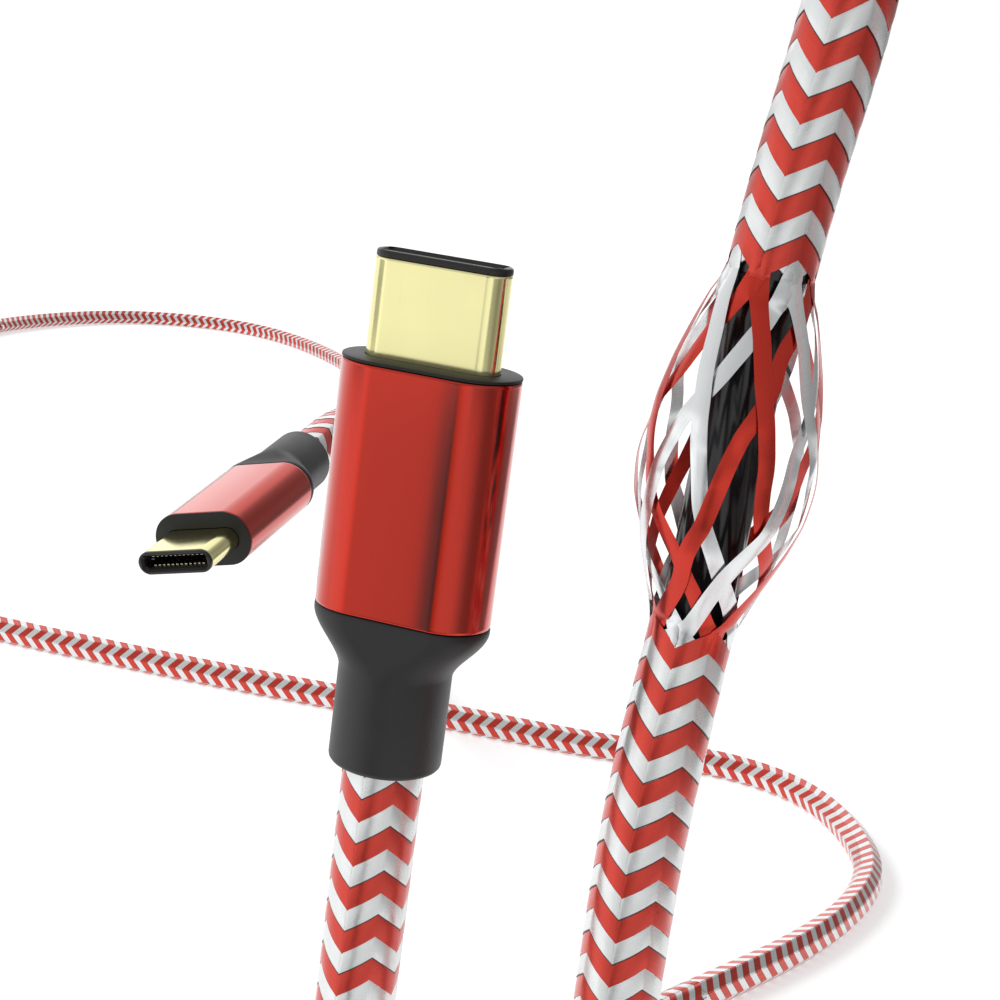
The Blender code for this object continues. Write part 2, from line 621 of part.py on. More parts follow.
def add_window(top, bottom, core, red, white):
    """The window in the braid, between the ends of the strand above and of the strand below."""
    top, bottom = Vector(top), Vector(bottom)
    middle = (top + bottom) / 2
    turn = (top - bottom).to_track_quat("Z", "Y")
    length = (top - bottom).length
    pieces = (
        ("window_core", lofted("window_core", [(circle(CORE_DIAMETER), length / 2),
                                               (circle(CORE_DIAMETER), -length / 2)]), core),
        ("window_tapes_right_hand", opened_braid("window_tapes_right_hand", length, 1, 0), red),
        ("window_tapes_left_hand", opened_braid("window_tapes_left_hand", length, -1, 1), white),
    )
    for name, mesh, finish in pieces:
        piece = add(name, mesh, finish)
        piece.location = middle
        piece.rotation_mode = "QUATERNION"
        piece.rotation_quaternion = turn


def add_cable(far_place, jacket, core, red, white):
    """The cable's stretches, end to end, with the window between the two strands."""
    near_exit = Vector((0, 0, CABLE_EXIT_Z))
    far_exit = far_place @ Vector((0, 0, CABLE_EXIT_Z))
    far_lead = far_place @ Vector((0, 0, CABLE_EXIT_Z - 2 * CABLE_DIAMETER))
    route = ([near_exit] + NEAR_DROP + STRAND_UPPER + [WINDOW_TOP, WINDOW_BOTTOM] + STRAND_LOWER
             + RIGHT_LOOP + LEFT_ARC + FAR_ARC + FAR_RISE + [far_lead, far_exit])
    fine = smooth_route([tuple(point) for point in route])
    lengths = arc_lengths(fine)
    cuts = [0.0] + [nearest_length(fine, lengths, point) for point in
                    (NEAR_DROP[-1], WINDOW_TOP, WINDOW_BOTTOM, RIGHT_LOOP[0], RIGHT_LOOP[-1],
                     LEFT_ARC[-1])] + [lengths[-1]]
    names = ("cable_near_drop", "cable_strand_upper", None, "cable_strand_lower",
             "cable_right_loop", "cable_left_arc", "cable_far_arc")
    for name, start, end in zip(names, cuts, cuts[1:]):
        if name is None:
            continue
        start += GAP if start == 0 else GAP / 2
        end -= GAP if end == lengths[-1] else GAP / 2
        tube(name, stretch_points(fine, lengths, start, end), CABLE_DIAMETER, jacket)
    top = Vector(np.array([np.interp(cuts[2] + GAP / 2, lengths, fine[:, k]) for k in range(3)]))
    bottom = Vector(np.array([np.interp(cuts[3] - GAP / 2, lengths, fine[:, k]) for k in range(3)]))
    add_window(top, bottom, core, red, white)


def build():
    for old in list(bpy.data.objects):
        bpy.data.objects.remove(old)
    red_metal = material("anodised_red", (0.50, 0.035, 0.025), 0.30, 0.9)
    gold = material("gold_plate", (0.86, 0.72, 0.36), 0.22, 1.0)
    black_plastic = material("black_plastic", (0.012, 0.012, 0.013), 0.45)
    black_rubber = material("black_rubber", (0.022, 0.022, 0.024), 0.60)
    steel = material("spring_steel", (0.62, 0.62, 0.60), 0.35, 1.0)
    board_green = material("board_green", (0.02, 0.16, 0.06), 0.40)
    brass = material("brass", (0.72, 0.52, 0.22), 0.35, 1.0)
    white_tape = material("white_tape", (0.75, 0.76, 0.78), 0.40)
    red_tape = material("red_tape", (0.55, 0.045, 0.03), 0.45)
    wire_red = material("wire_red", (0.55, 0.03, 0.03), 0.45)
    wire_black = material("wire_black", (0.02, 0.02, 0.02), 0.45)
    wire_green = material("wire_green", (0.03, 0.30, 0.08), 0.45)
    wire_white = material("wire_white", (0.75, 0.75, 0.73), 0.45)
    finishes = {
        "shell": gold, "mouth_housing": black_plastic, "contact_row": gold,
        "contact_holder": black_plastic, "latch_plate": steel, "ground_spring": steel,
        "circuit_board": board_green, "marker_chip": black_plastic, "shield_can": steel,
        "inner_mould": black_plastic, "grip_sleeve": red_metal, "strain_relief": black_rubber,
        "crimp_ring": brass, "cable_end": red_tape, "wire_power": wire_red,
        "wire_ground": wire_black, "wire_data_plus": wire_green, "wire_data_minus": wire_white,
    }
    meshes = plug_meshes()
    turn = [math.radians(angle) for angle in FAR_PLUG_TURN_DEGREES]
    far_place = Matrix.LocRotScale(Vector(FAR_PLUG_PLACE), Euler(turn, "XYZ"), None)
    add_plug("near", meshes, finishes, Matrix.Identity(4))
    add_plug("far", meshes, finishes, far_place)
    add_cable(far_place, red_tape, black_rubber, red_tape, white_tape)


build()
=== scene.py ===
"""Braided charging cable with a reversible plug on each end: its looks.

Metres, in the frame of the CAD model: the origin is the centre of the near plug's end face, +Z
points out of its mouth, X is across the plug and Y through it.
"""
import math

import bpy
import numpy as np
from mathutils import Euler, Matrix, Vector


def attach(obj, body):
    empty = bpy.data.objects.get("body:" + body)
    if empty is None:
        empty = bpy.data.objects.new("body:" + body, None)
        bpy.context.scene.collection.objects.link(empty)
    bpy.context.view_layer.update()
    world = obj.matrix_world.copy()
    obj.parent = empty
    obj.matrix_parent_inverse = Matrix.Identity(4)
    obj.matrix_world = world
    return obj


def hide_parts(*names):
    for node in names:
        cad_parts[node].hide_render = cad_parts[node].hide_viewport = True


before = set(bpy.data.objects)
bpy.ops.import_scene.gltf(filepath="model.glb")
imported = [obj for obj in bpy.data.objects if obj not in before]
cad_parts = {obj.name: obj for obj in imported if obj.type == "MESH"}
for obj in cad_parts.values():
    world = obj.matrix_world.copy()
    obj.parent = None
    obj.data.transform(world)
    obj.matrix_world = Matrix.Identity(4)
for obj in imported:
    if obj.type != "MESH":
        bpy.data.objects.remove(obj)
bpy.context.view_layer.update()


# ---------------------------------------------------------------- camera
# A 72 mm lens level with the near plug and a little to its right, which looks 13.7 degrees down and
# 16.7 degrees to the left, and leans 7.5 degrees.
yaw, pitch, roll = math.radians(16.7), math.radians(13.7), math.radians(7.5)
ahead = Vector((-math.sin(yaw) * math.cos(pitch), math.cos(yaw) * math.cos(pitch),
                -math.sin(pitch)))
level_right = Vector((math.cos(yaw), math.sin(yaw), 0))
level_up = level_right.cross(ahead)
camera_right = math.cos(roll) * level_right + math.sin(roll) * level_up
camera_up = -math.sin(roll) * level_right + math.cos(roll) * level_up
camera = bpy.data.objects.new("camera", bpy.data.cameras.new("camera"))
bpy.context.scene.collection.objects.link(camera)
camera.data.lens = 72
camera.data.sensor_width = 36
camera.data.clip_start = 0.005
camera.matrix_world = Matrix.Translation((0.03755, -0.10809, 0.02032)) @ Matrix(
    (camera_right, camera_up, -ahead)).transposed().to_4x4()
bpy.context.scene.camera = camera


# ---------------------------------------------------------------- route of the cable
# The cable is 2.04 m of round cord, 5 mm thick. It hangs from the near plug, rises again on the
# right, comes down as the strand with the window, and runs over the floor to the far plug. The
# route's points are in millimetres.
CABLE_DIAMETER = 0.0050
PLUG_NECK_Z = -0.02468
FAR_PLUG_PLACE = Matrix.LocRotScale(
    Vector((-0.0469, 0.0709, -0.0356)),
    Euler([math.radians(angle) for angle in (100.1, -14.7, -2.1)], "XYZ"), None)
NEAR_DROP = [
    (0, 0, -42), (0, 0, -60), (0.2, -1.5, -78), (1.5, -8.5, -95), (5, -22, -107.5),
    (12, -39, -112), (24, -54, -112), (41, -60, -112), (57, -54, -112), (65.5, -38, -111.5),
    (65, -21, -105.5), (60.5, -8, -92), (56.5, -0.5, -73), (54, 2, -48), (53.2, 2, -16),
]
STRAND_UPPER = [
    (53.1, 1.8, 16), (52.9, 1.6, 36), (48.2, 1.5, 47.5), (36.7, 1.4, 52.3), (25.3, 1.3, 47.5),
    (20.9, 1.3, 37), (20.4, 1.5, 24.5), (19.3, 1.8, 16),
]
WINDOW_TOP = (18.35, 2.05, 8.4)
WINDOW_BOTTOM = (16.95, 2.45, -13)
STRAND_LOWER = [
    (16.1, 2.5, -24), (15.9, 2.7, -38), (15.8, 3.4, -56), (15.6, 6, -77), (14.5, 13.5, -96),
    (12.5, 28, -108), (8.5, 46, -112), (1, 70, -112), (-6.5, 93, -112), (-10.5, 115, -112),
    (-9.2, 134.5, -112),
]
RIGHT_LOOP = [
    (-2.8, 152, -112), (7.9, 176.7, -112), (13.3, 196.5, -112), (13.8, 213.6, -112),
    (7.3, 230.7, -112), (-3.3, 242.8, -112), (-17.3, 247, -112), (-38.3, 242.8, -112),
    (-71.4, 238.3, -112), (-93.8, 234.7, -112), (-120.4, 231.3, -112), (-141.9, 229.4, -112),
    (-163.3, 228, -112),
]
LEFT_ARC = [
    (-206, 229, -112), (-248, 240, -112), (-283, 266, -112), (-308, 305, -112), (-324, 355, -112),
    (-334.5, 410, -112), (-341, 463, -112), (-343.7, 513, -112),
]
FAR_ARC = [
    (-337.6, 547.3, -112), (-320.3, 580, -112), (-286.5, 596.8, -112), (-256.4, 586.4, -112),
    (-233.5, 567.4, -112), (-204.6, 533.4, -112), (-177.7, 485.8, -112), (-150.7, 424.7, -112),
    (-126.5, 361, -112), (-104.9, 299, -112),
]
FAR_RISE = [
    (-94, 268, -110.5), (-84, 240, -104), (-74, 211, -92), (-64, 180, -74.5), (-55.5, 152, -54.5),
    (-50, 129, -38.5),
]


def smooth_route(route):
    """A natural cubic spline through the route's points, with chord length as its parameter."""
    route = np.array(route, float)
    chords = np.linalg.norm(np.diff(route, axis=0), axis=1)
    count = len(route)
    system = np.eye(count)
    right = np.zeros((count, 3))
    for at in range(1, count - 1):
        before, after = chords[at - 1], chords[at]
        system[at, at - 1:at + 2] = before, 2 * (before + after), after
        right[at] = 6 * ((route[at + 1] - route[at]) / after - (route[at] - route[at - 1]) / before)
    bends = np.linalg.solve(system, right)
    fine = []
    for at, chord in enumerate(chords):
        steps = max(2, int(math.ceil(chord / 0.0005)))
        along = (np.arange(steps) / steps * chord)[:, None]
        left = chord - along
        fine.append((bends[at] * left ** 3 + bends[at + 1] * along ** 3) / (6 * chord)
                    + (route[at] / chord - bends[at] * chord / 6) * left
                    + (route[at + 1] / chord - bends[at + 1] * chord / 6) * along)
    return np.concatenate(fine + [route[-1:]])


far_lead = FAR_PLUG_PLACE @ Vector((0, 0, PLUG_NECK_Z - 2 * CABLE_DIAMETER))
far_exit = FAR_PLUG_PLACE @ Vector((0, 0, PLUG_NECK_Z))
between_plugs = (NEAR_DROP + STRAND_UPPER + [WINDOW_TOP, WINDOW_BOTTOM] + STRAND_LOWER + RIGHT_LOOP
                 + LEFT_ARC + FAR_ARC + FAR_RISE)
LINE = smooth_route([(0, 0, PLUG_NECK_Z), *(np.array(between_plugs) / 1000), far_lead, far_exit])
RUN = np.concatenate(([0.0], np.cumsum(np.linalg.norm(np.diff(LINE, axis=0), axis=1))))
CABLE_LENGTH = RUN[-1]
inward = 0.0005 * np.arange(1, 5)
LINE = np.concatenate((LINE[0] + inward[::-1, None] * (0, 0, 1), LINE,
                       LINE[-1] + inward[:, None] * np.array(FAR_PLUG_PLACE.to_3x3().col[2])))
RUN = np.concatenate((-inward[::-1], RUN, CABLE_LENGTH + inward))
HEADING = np.gradient(LINE, RUN, axis=0)
HEADING /= np.linalg.norm(HEADING, axis=1)[:, None]


def carried_sides(heading):
    """For each point of the line a direction square to it, carried along without any twist: each is
    the last one with its part along the new heading taken off. The first faces the camera."""
    sides = np.zeros_like(heading)
    side = np.array([0.0, -1.0, 0.0])
    for at, forward in enumerate(heading):
        side = side - side @ forward * forward
        side /= np.linalg.norm(side)
        sides[at] = side
    return sides


SIDE = carried_sides(HEADING)
ACROSS = np.cross(SIDE, HEADING)


def on_route(run, what):
    """The line, or a direction carried along it, at each of the lengths in run."""
    return np.stack([np.interp(run, RUN, what[:, axis]) for axis in range(3)], axis=-1)


def run_of(point):
    """The length at which the route passes one of its points."""
    return RUN[np.argmin(np.linalg.norm(LINE - np.array(point) / 1000, axis=1))]


WINDOW_START, WINDOW_END = run_of(WINDOW_TOP) + 0.0003, run_of(WINDOW_BOTTOM) + 0.0003


# ---------------------------------------------------------------- braid
# Sixteen flat satin tapes, eight each way, alternately red and white. They pass over and under each
# other, and lie in chevrons 2.9 mm apart, with the jacket just under them.
TAPE_BREADTH = 0.00116
TAPE_THICKNESS = 0.00004
TAPE_TILT = 0.000045
RED_TAPE_TILT = 0.3 * TAPE_TILT
TAPE_GAP = 0.00002
OPEN_TAPE_GAP = 0.00018
OPEN_TAPE_SHRINKING = 0.14
TAPES_EACH_WAY = 8
CHEVRON = 0.0029

# Chevrons counted in the closed braid before and after the window, by length along the cable, and
# those passed before the window.
CLOSED_BEFORE = [(0.00108, 0), (0.01266, 4), (0.41697, 143), (0.42825, 147)]
CLOSED_AFTER = [(0.45414, 150), (0.47170, 156)]
WINDOW_CHEVRON = 147.5

# The angle of the chevrons' points, by length along the cable.
POINT_RUN = [0.0, 0.0145, 0.4164, 0.4290, 0.4545, 0.4720]
POINT_ANGLE = [-6.0, -10.0, 17.5, 19.3, 20.0, 23.6]

# How far round the tapes of each hand have gone in the opened braid, in degrees past a chevron's
# point, by share of the window's length.
OPENED = np.array([
    (-0.030, 0, 0), (0.010, 3, 5), (0.043, 8, 11), (0.070, 12, 17), (0.100, 16, 22),
    (0.150, 22, 33), (0.210, 26, 43), (0.260, 29, 50), (0.330, 34, 61), (0.390, 37, 69),
    (0.460, 41, 74), (0.520, 44, 77), (0.590, 48, 80), (0.650, 54, 83), (0.700, 62, 89),
    (0.755, 73, 95), (0.808, 85, 101), (0.862, 100, 109), (0.914, 114, 117), (0.953, 127, 124),
    (0.982, 135, 135),
])


def chevron_counts(hand):
    """Route lengths, and the number of chevrons passed there by the tapes of one hand: evenly in
    the closed braid, and in the window as OPENED says."""
    opened_run = WINDOW_START + OPENED[:, 0] * (WINDOW_END - WINDOW_START)
    opened_count = WINDOW_CHEVRON + OPENED[:, 1 if hand > 0 else 2] / 90
    run, count = np.concatenate((CLOSED_BEFORE, np.stack((opened_run, opened_count), axis=1),
                                 CLOSED_AFTER)).T
    ends = np.array([-0.01, CABLE_LENGTH + 0.01])
    outer = count[[0, -1]] + (ends - run[[0, -1]]) / CHEVRON
    return np.r_[ends[0], run, ends[1]], np.r_[outer[0], count, outer[1]]


COUNT_RUN, COUNT_RIGHT = chevron_counts(1)
COUNT_LEFT = chevron_counts(-1)[1]


def window_share(run):
    """Where a route length lies in the window: 0 at the window's start, 1 at its end."""
    return (run - WINDOW_START) / (WINDOW_END - WINDOW_START)


def ease(value, low, high):
    """0 below low, 1 above high, and between them a smooth step."""
    share = np.clip((value - low) / (high - low), 0, 1)
    return share * share * (3 - 2 * share)


# How much thicker the braid is just below the window, and the radius of the opened braid, in
# millimetres, by share of the window's length.
SWELLING = 0.05
CAGE_SHARE = [0, 0.062, 0.156, 0.249, 0.363, 0.479, 0.561, 0.637, 0.731, 0.827, 0.915, 0.977, 1]
CAGE_RADIUS = [2.5, 2.95, 3.64, 4.27, 4.90, 5.17, 5.17, 5.00, 4.42, 3.64, 2.92, 2.52, 2.5]


def cage_radius(share):
    """The radius of the outer tapes, in metres: CAGE_RADIUS smoothed, and a little more just below
    the window, where the braid is pushed together."""
    grid = np.linspace(-0.1, 1.1, 481)
    plain = np.interp(grid, CAGE_SHARE, CAGE_RADIUS)
    hump = np.hanning(33)
    smooth = np.convolve(np.pad(plain, 16, "edge"), hump / hump.sum(), "valid")
    smooth = np.where((grid < 0) | (grid > 1), 2.5, np.maximum(smooth, 2.5))
    swelling = 1 + SWELLING * ease(share, 1.0, 1.4) * (1 - ease(share, 4.0, 6.0))
    return np.interp(share, grid, smooth) * swelling / 1000


def tape_angle(run, hand, tape, stray=None):
    """The angle in degrees at which tapes of one hand lie at route lengths run: it grows with the
    chevrons passed, 90 degrees each, one way or the other. In the window it is evened out, and
    stray moves single tapes aside by (tape, share of the window, degrees, spread)."""
    counts = COUNT_RIGHT if hand > 0 else COUNT_LEFT
    passed = np.interp(run, COUNT_RUN, counts)
    share = window_share(run)
    if stray is not None:
        fine = np.linspace(-0.06, 1.03, 400)
        turned = np.interp(WINDOW_START + fine * (WINDOW_END - WINDOW_START), COUNT_RUN, counts)
        hump = np.hanning(25)
        evened = np.convolve(np.pad(turned, 12, "edge"), hump / hump.sum(), "valid")
        keep = ease(fine, -0.01, 0.02) * (1 - ease(fine, 0.955, 0.975))
        passed = np.interp(share, fine, turned + keep * (evened - turned))
    angle = (np.interp(run, POINT_RUN, POINT_ANGLE) + hand * 90 * (passed - WINDOW_CHEVRON)
             + 360 / TAPES_EACH_WAY * tape)
    for who, where, degrees, spread in stray or ():
        angle = angle + degrees * (tape == who) * np.exp(-((share - where) / spread) ** 2)
    return angle


def opened(share):
    """0 in the closed braid, 1 in the window, with a short slope at each of its ends."""
    return ease(share, 0.02, 0.08) * (1 - ease(share, 0.93, 0.97))


def squareness(share):
    """How far the tapes' sections have turned from lengthwise to square to the tape."""
    return ease(share, -0.075, -0.02) * (1 - ease(share, 0.965, 0.995))


def tape_lift(run, angle, hand):
    """1 where tapes of one hand lie over and -1 where they lie under, with slopes between.

    In the closed braid the hands change places at the chevrons' points, every 45 degrees: the upper
    one lies flat right up to the line of the points, and dives once it is covered. In the window
    right-hand tapes lie over above the middle and under below it."""
    past_point = (angle - np.interp(run, POINT_RUN, POINT_ANGLE)) / 45
    closed_lift = np.clip(1 - hand * 12 * np.sin(np.pi * past_point), -1, 1)
    share = window_share(run)
    open_lift = hand * (1 - 2 * ease(share, 0.42, 0.54))
    return closed_lift + opened(share) * (open_lift - closed_lift)


def tape_grid(run, hand, section, stray=None):
    """The points of one hand's tapes, as an array (tape, run, section, xyz), and their UVs in mm.

    A section is a list of (place across the breadth from -1 to 1, depth). It lies lengthwise in the
    closed braid, along the lines of the chevrons' points, and square to the tape in the window,
    where tapes are narrower. The edge at +1 is the lower one, and stands up by the tape's tilt."""
    tape = np.arange(TAPES_EACH_WAY)[:, None]
    angle = np.radians(tape_angle(run[None, :], hand, tape, stray))
    radius = cage_radius(window_share(run))[None, :]
    along = np.gradient(run)[None, :] * np.ones_like(angle)
    round_it = np.abs(np.gradient(angle, axis=1) * radius)
    size = np.hypot(along, round_it)
    along, round_it = (along / size)[..., None], (round_it / size)[..., None]
    place, depth = np.array(section).T
    share = window_share(run)[:, None]
    across = place * TAPE_BREADTH / 2 * (1 - OPEN_TAPE_SHRINKING * opened(share))
    square = squareness(share)[None]
    slant = square * round_it + (1 - square) / np.maximum(round_it, 0.2)
    where = run[None, :, None] + across * slant
    turned = angle[..., None] - hand * square * along * across / radius[..., None]
    over = (1 + tape_lift(where, np.degrees(turned), hand)) / 2
    gap = TAPE_GAP + (OPEN_TAPE_GAP - TAPE_GAP) * opened(share)
    sunk = (1 - over) * (TAPE_THICKNESS + gap)
    tilt = np.where(tape % 2, TAPE_TILT, RED_TAPE_TILT)[..., None] * round_it ** 2 * place * over
    outward = cage_radius(window_share(where)) - sunk - depth + tilt
    points = (on_route(where, LINE)
              + (outward * np.cos(turned))[..., None] * on_route(where, SIDE)
              + (outward * np.sin(turned))[..., None] * on_route(where, ACROSS))
    length = np.cumsum(size, axis=1)[..., None] * np.ones_like(where)
    return points, np.stack((length, across * np.ones_like(where)), axis=-1) * 1000


def closed_grid(rows, columns):
    """Quads of a grid whose columns close on themselves, and of its two ends."""
    row, column = np.meshgrid(np.arange(rows - 1), np.arange(columns), indexing="ij")
    after = (column + 1) % columns
    sides = np.stack((row * columns + column, row * columns + after,
                      (row + 1) * columns + after, (row + 1) * columns + column), axis=-1)
    half = np.arange(columns // 2 - 1)
    cap = np.stack((half, columns - 1 - half, columns - 2 - half, half + 1), axis=-1)
    last = (rows - 1) * columns + cap[:, ::-1]
    return np.concatenate((sides.reshape(-1, 4), cap, last))


def tape_faces(rows, columns, hand):
    """Faces of all the tapes of one hand, turned outwards, and the number of each face's finish."""
    one = closed_grid(rows, columns)[:, ::hand]
    shift = rows * columns * np.arange(TAPES_EACH_WAY)[:, None, None]
    return (one[None] + shift).reshape(-1, 4), np.repeat(np.arange(TAPES_EACH_WAY) % 2, len(one))


def new_piece(name, points, faces, finishes, finish_of=None, uv=None, crease=35):
    """A mesh object at the origin. finish_of gives each face's finish, and uv each point's UV."""
    mesh = bpy.data.meshes.new(name)
    mesh.from_pydata(np.asarray(points).reshape(-1, 3).tolist(), [], np.asarray(faces).tolist())
    for finish in finishes:
        mesh.materials.append(finish)
    if finish_of is not None:
        mesh.polygons.foreach_set("material_index", np.asarray(finish_of, np.int32))
    if uv is not None:
        corners = np.empty(len(mesh.loops), np.int32)
        mesh.loops.foreach_get("vertex_index", corners)
        layer = mesh.uv_layers.new(name="lengthwise")
        places = np.asarray(uv, np.float32).reshape(-1, 2)[corners]
        layer.data.foreach_set("uv", places.ravel())
    mesh.shade_smooth()
    mesh.set_sharp_from_angle(angle=math.radians(crease))
    piece = bpy.data.objects.new(name, mesh)
    bpy.context.scene.collection.objects.link(piece)
    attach(piece, "root")
    return piece


# Where in half a chevron the tapes get their samples. Fine ones, on and beside the line of the
# chevrons' points, go where the photograph looks closest.
FINE_STEPS = np.array([0, 0.006, 0.03, 0.15, 0.25, 0.35, 0.47, 0.494])
MIDDLE_STEPS = np.array([0.025, 0.25, 0.475])
COARSE_STEPS = np.array([0.025, 0.475])
JACKET_GAP = 0.00015


def braid_mesh(start, end, section, coarse, fine):
    """Points, faces, finishes and UVs of the braid between two route lengths, on its dark jacket,
    in coarse steps, and in fine ones between the two lengths in fine and beside the window."""
    points, faces, finish_of, uv, used = [], [], [], [], 0
    for hand, counts in ((1, COUNT_RIGHT), (-1, COUNT_LEFT)):
        low, high = np.interp((start, end), COUNT_RUN, counts) - WINDOW_CHEVRON
        halves = np.arange(math.floor(2 * low) - 1, math.ceil(2 * high) + 1) / 2
        run_fine, run_coarse = (
            np.interp((halves[:, None] + steps).ravel() + WINDOW_CHEVRON, counts, COUNT_RUN)
            for steps in (FINE_STEPS, coarse))
        inside = (run_fine > fine[0]) & (run_fine < fine[1])
        outside = (run_coarse <= fine[0]) | (run_coarse >= fine[1])
        close = np.linspace(0, 0.0017, 14)
        run = np.concatenate(([start, end], run_fine[inside], run_coarse[outside],
                              WINDOW_START - close, WINDOW_END + close[:5]))
        run = np.unique(run[(run >= start) & (run <= end)])
        run = run[np.concatenate(([True], np.diff(run) > 0.00001))]
        run[-1] = end
        grid, grid_uv = tape_grid(run, hand, section)
        tapes, tape_finishes = tape_faces(len(run), len(section), hand)
        faces.append(tapes + used)
        finish_of.append(tape_finishes)
        points.append(grid.reshape(-1, 3))
        uv.append(grid_uv.reshape(-1, 2))
        used += len(points[-1])
    rows = np.linspace(start, end, max(3, int((end - start) / 0.0025)))
    turn = np.linspace(0, 2 * np.pi, 16, endpoint=False)
    radius = CABLE_DIAMETER / 2 - 2 * TAPE_THICKNESS - JACKET_GAP
    ring = radius * (np.cos(turn)[:, None] * on_route(rows, SIDE)[:, None]
                     + np.sin(turn)[:, None] * on_route(rows, ACROSS)[:, None])
    points.append((on_route(rows, LINE)[:, None] + ring).reshape(-1, 3))
    places = np.meshgrid(rows * 1000, turn * radius * 1000, indexing="ij")
    uv.append(np.stack(places, axis=-1).reshape(-1, 2))
    jacket = closed_grid(len(rows), len(turn))
    faces.append(jacket + used)
    finish_of.append(np.full(len(jacket), 2))
    return [np.concatenate(parts) for parts in (points, faces, finish_of, uv)]


def node_group(name, inputs, outputs):
    """An empty shader node group, with its inputs' values and its outputs' names, and its input
    and output nodes."""
    group = bpy.data.node_groups.new(name, "ShaderNodeTree")
    for label, value in inputs.items():
        group.interface.new_socket(name=label, in_out="INPUT",
                                   socket_type="NodeSocketFloat").default_value = value
    for label in outputs:
        group.interface.new_socket(name=label, in_out="OUTPUT", socket_type="NodeSocketFloat")
    return group, group.nodes.new("NodeGroupInput").outputs, group.nodes.new("NodeGroupOutput")


def feed(tree, made, inputs):
    """Each of a node's inputs takes its value, or a link from an output. Colours have no alpha."""
    for label, given in inputs.items():
        socket = made.inputs[label]
        if isinstance(given, bpy.types.NodeSocket):
            tree.links.new(given, socket)
        else:
            socket.default_value = (*given, 1) if socket.type == "RGBA" else given


def node(tree, kind, inputs=None, **settings):
    """The outputs of a new node with these inputs and settings."""
    made = tree.nodes.new(kind)
    for label, value in settings.items():
        setattr(made, label, value)
    feed(tree, made, inputs or {})
    return made.outputs


def filament_group():
    """Fine filaments along a tape, 60 times finer across than along: mask is the mottled satin,
    height the filaments' ridges, and the edge mask the last of the tape's breadth at its lower
    edge, where the colour is a painted shadow that stands for the shade under the tape's raised
    edge."""
    group, _, result = node_group("filaments", {}, ("Mask", "Height", "Shadow Line"))
    where = node(group, "ShaderNodeUVMap", uv_map="lengthwise")["UV"]
    across = node(group, "ShaderNodeSeparateXYZ", {"Vector": where})["Y"]
    # Painted shadow: a mask over the last of the breadth at the tape's lower edge, where the raised
    # edge shades the tape beside it.
    edge = node(group, "ShaderNodeMapRange", {"Value": across, "From Min": 0.49, "From Max": 0.53})
    drawn = node(group, "ShaderNodeVectorMath", {0: where, 1: (0.10, 6.0, 1.0)},
                 operation="MULTIPLY")
    threads = node(group, "ShaderNodeTexNoise", {"Vector": drawn["Vector"], "Scale": 1.0,
                                                 "Detail": 3.0, "Roughness": 0.6})
    patches = node(group, "ShaderNodeTexNoise", {"Vector": where, "Scale": 0.6, "Detail": 2.0})
    shade = node(group, "ShaderNodeMapRange",
                 {"Value": patches["Fac"], "From Min": 0.35, "From Max": 0.65})
    feed(group, result, {"Shadow Line": edge["Result"], "Height": threads["Fac"],
                         "Mask": shade["Result"]})
    return group


FILAMENTS = filament_group()


def blend_colour(tree, mask, low, high, **settings):
    """A colour that goes from low to high with the mask."""
    return node(tree, "ShaderNodeMix", {"Factor": mask, "A": low, "B": high}, data_type="RGBA",
                **settings)["Result"]


def patterned_finish(name, group, inputs, by, colours, roughness, bump, values, edge=None):
    """A finish on a pattern group with these inputs. Its colour goes from one of colours to the
    other with the output named in by, its roughness over its range with Mask, and Height stands up
    by bump, a strength and a distance. The colour edge is painted over the group's edge mask as
    a painted shadow. Values go to the shader."""
    made = bpy.data.materials.new(name)
    made.use_nodes = True
    tree = made.node_tree
    pattern = node(tree, "ShaderNodeGroup", inputs, node_tree=group)
    colour = blend_colour(tree, pattern[by], *colours)
    # The edge colour is a painted shadow along the tape's lower edge.
    if edge is not None:
        colour = blend_colour(tree, pattern["Shadow Line"], colour, edge)
    rough = node(tree, "ShaderNodeMapRange",
                 {"Value": pattern["Mask"], "To Min": roughness[0], "To Max": roughness[1]})
    raised = node(tree, "ShaderNodeBump",
                  {"Height": pattern["Height"], "Strength": bump[0], "Distance": bump[1]})
    feed(tree, tree.nodes["Principled BSDF"], {
        **values, "Base Color": colour, "Roughness": rough["Result"], "Normal": raised["Normal"]})
    return made


def tape_finish(name, dark, light, roughness, metallic, gloss, edge=None):
    """Satin tape: colour and roughness vary a little with the filaments. Part of the light comes
    back as from metal, because filaments that lie side by side shine in the tape's own colour.
    An edge colour, if given, is a painted shadow along the tape's lower edge."""
    return patterned_finish(
        name, FILAMENTS, {}, "Height", (dark, light), (roughness - 0.04, roughness + 0.06),
        (0.10, 0.00001), {"Metallic": metallic, "Coat Weight": gloss, "Coat Roughness": 0.30}, edge)


red_tape = tape_finish("red satin tape", (0.58, 0.020, 0.005), (0.66, 0.030, 0.008),
                       0.28, 0.75, 0.9)
# The white tape's edge colour is a painted shadow: a near-black line where its raised lower edge
# shades the red tape below.
white_tape = tape_finish("white satin tape", (0.76, 0.78, 0.78), (0.84, 0.86, 0.86),
                         0.28, 0.80, 0.3, edge=(0.06, 0.03, 0.03))


def grain_group():
    """Even grain in the piece's own coordinates: mask is broad and soft, height the fine grain."""
    group, given, result = node_group("grain", {"Scale": 9000.0, "Broad Scale": 300.0},
                                      ("Mask", "Height"))
    where = node(group, "ShaderNodeTexCoord")["Object"]
    fine = node(group, "ShaderNodeTexNoise", {"Vector": where, "Scale": given["Scale"],
                                              "Detail": 2.0, "Roughness": 0.6})
    broad = node(group, "ShaderNodeTexNoise", {"Vector": where, "Scale": given["Broad Scale"],
                                               "Detail": 3.0})
    spread = node(group, "ShaderNodeMapRange",
                  {"Value": broad["Fac"], "From Min": 0.35, "From Max": 0.65})
    feed(group, result, {"Height": fine["Fac"], "Mask": spread["Result"]})
    return group


GRAIN = grain_group()


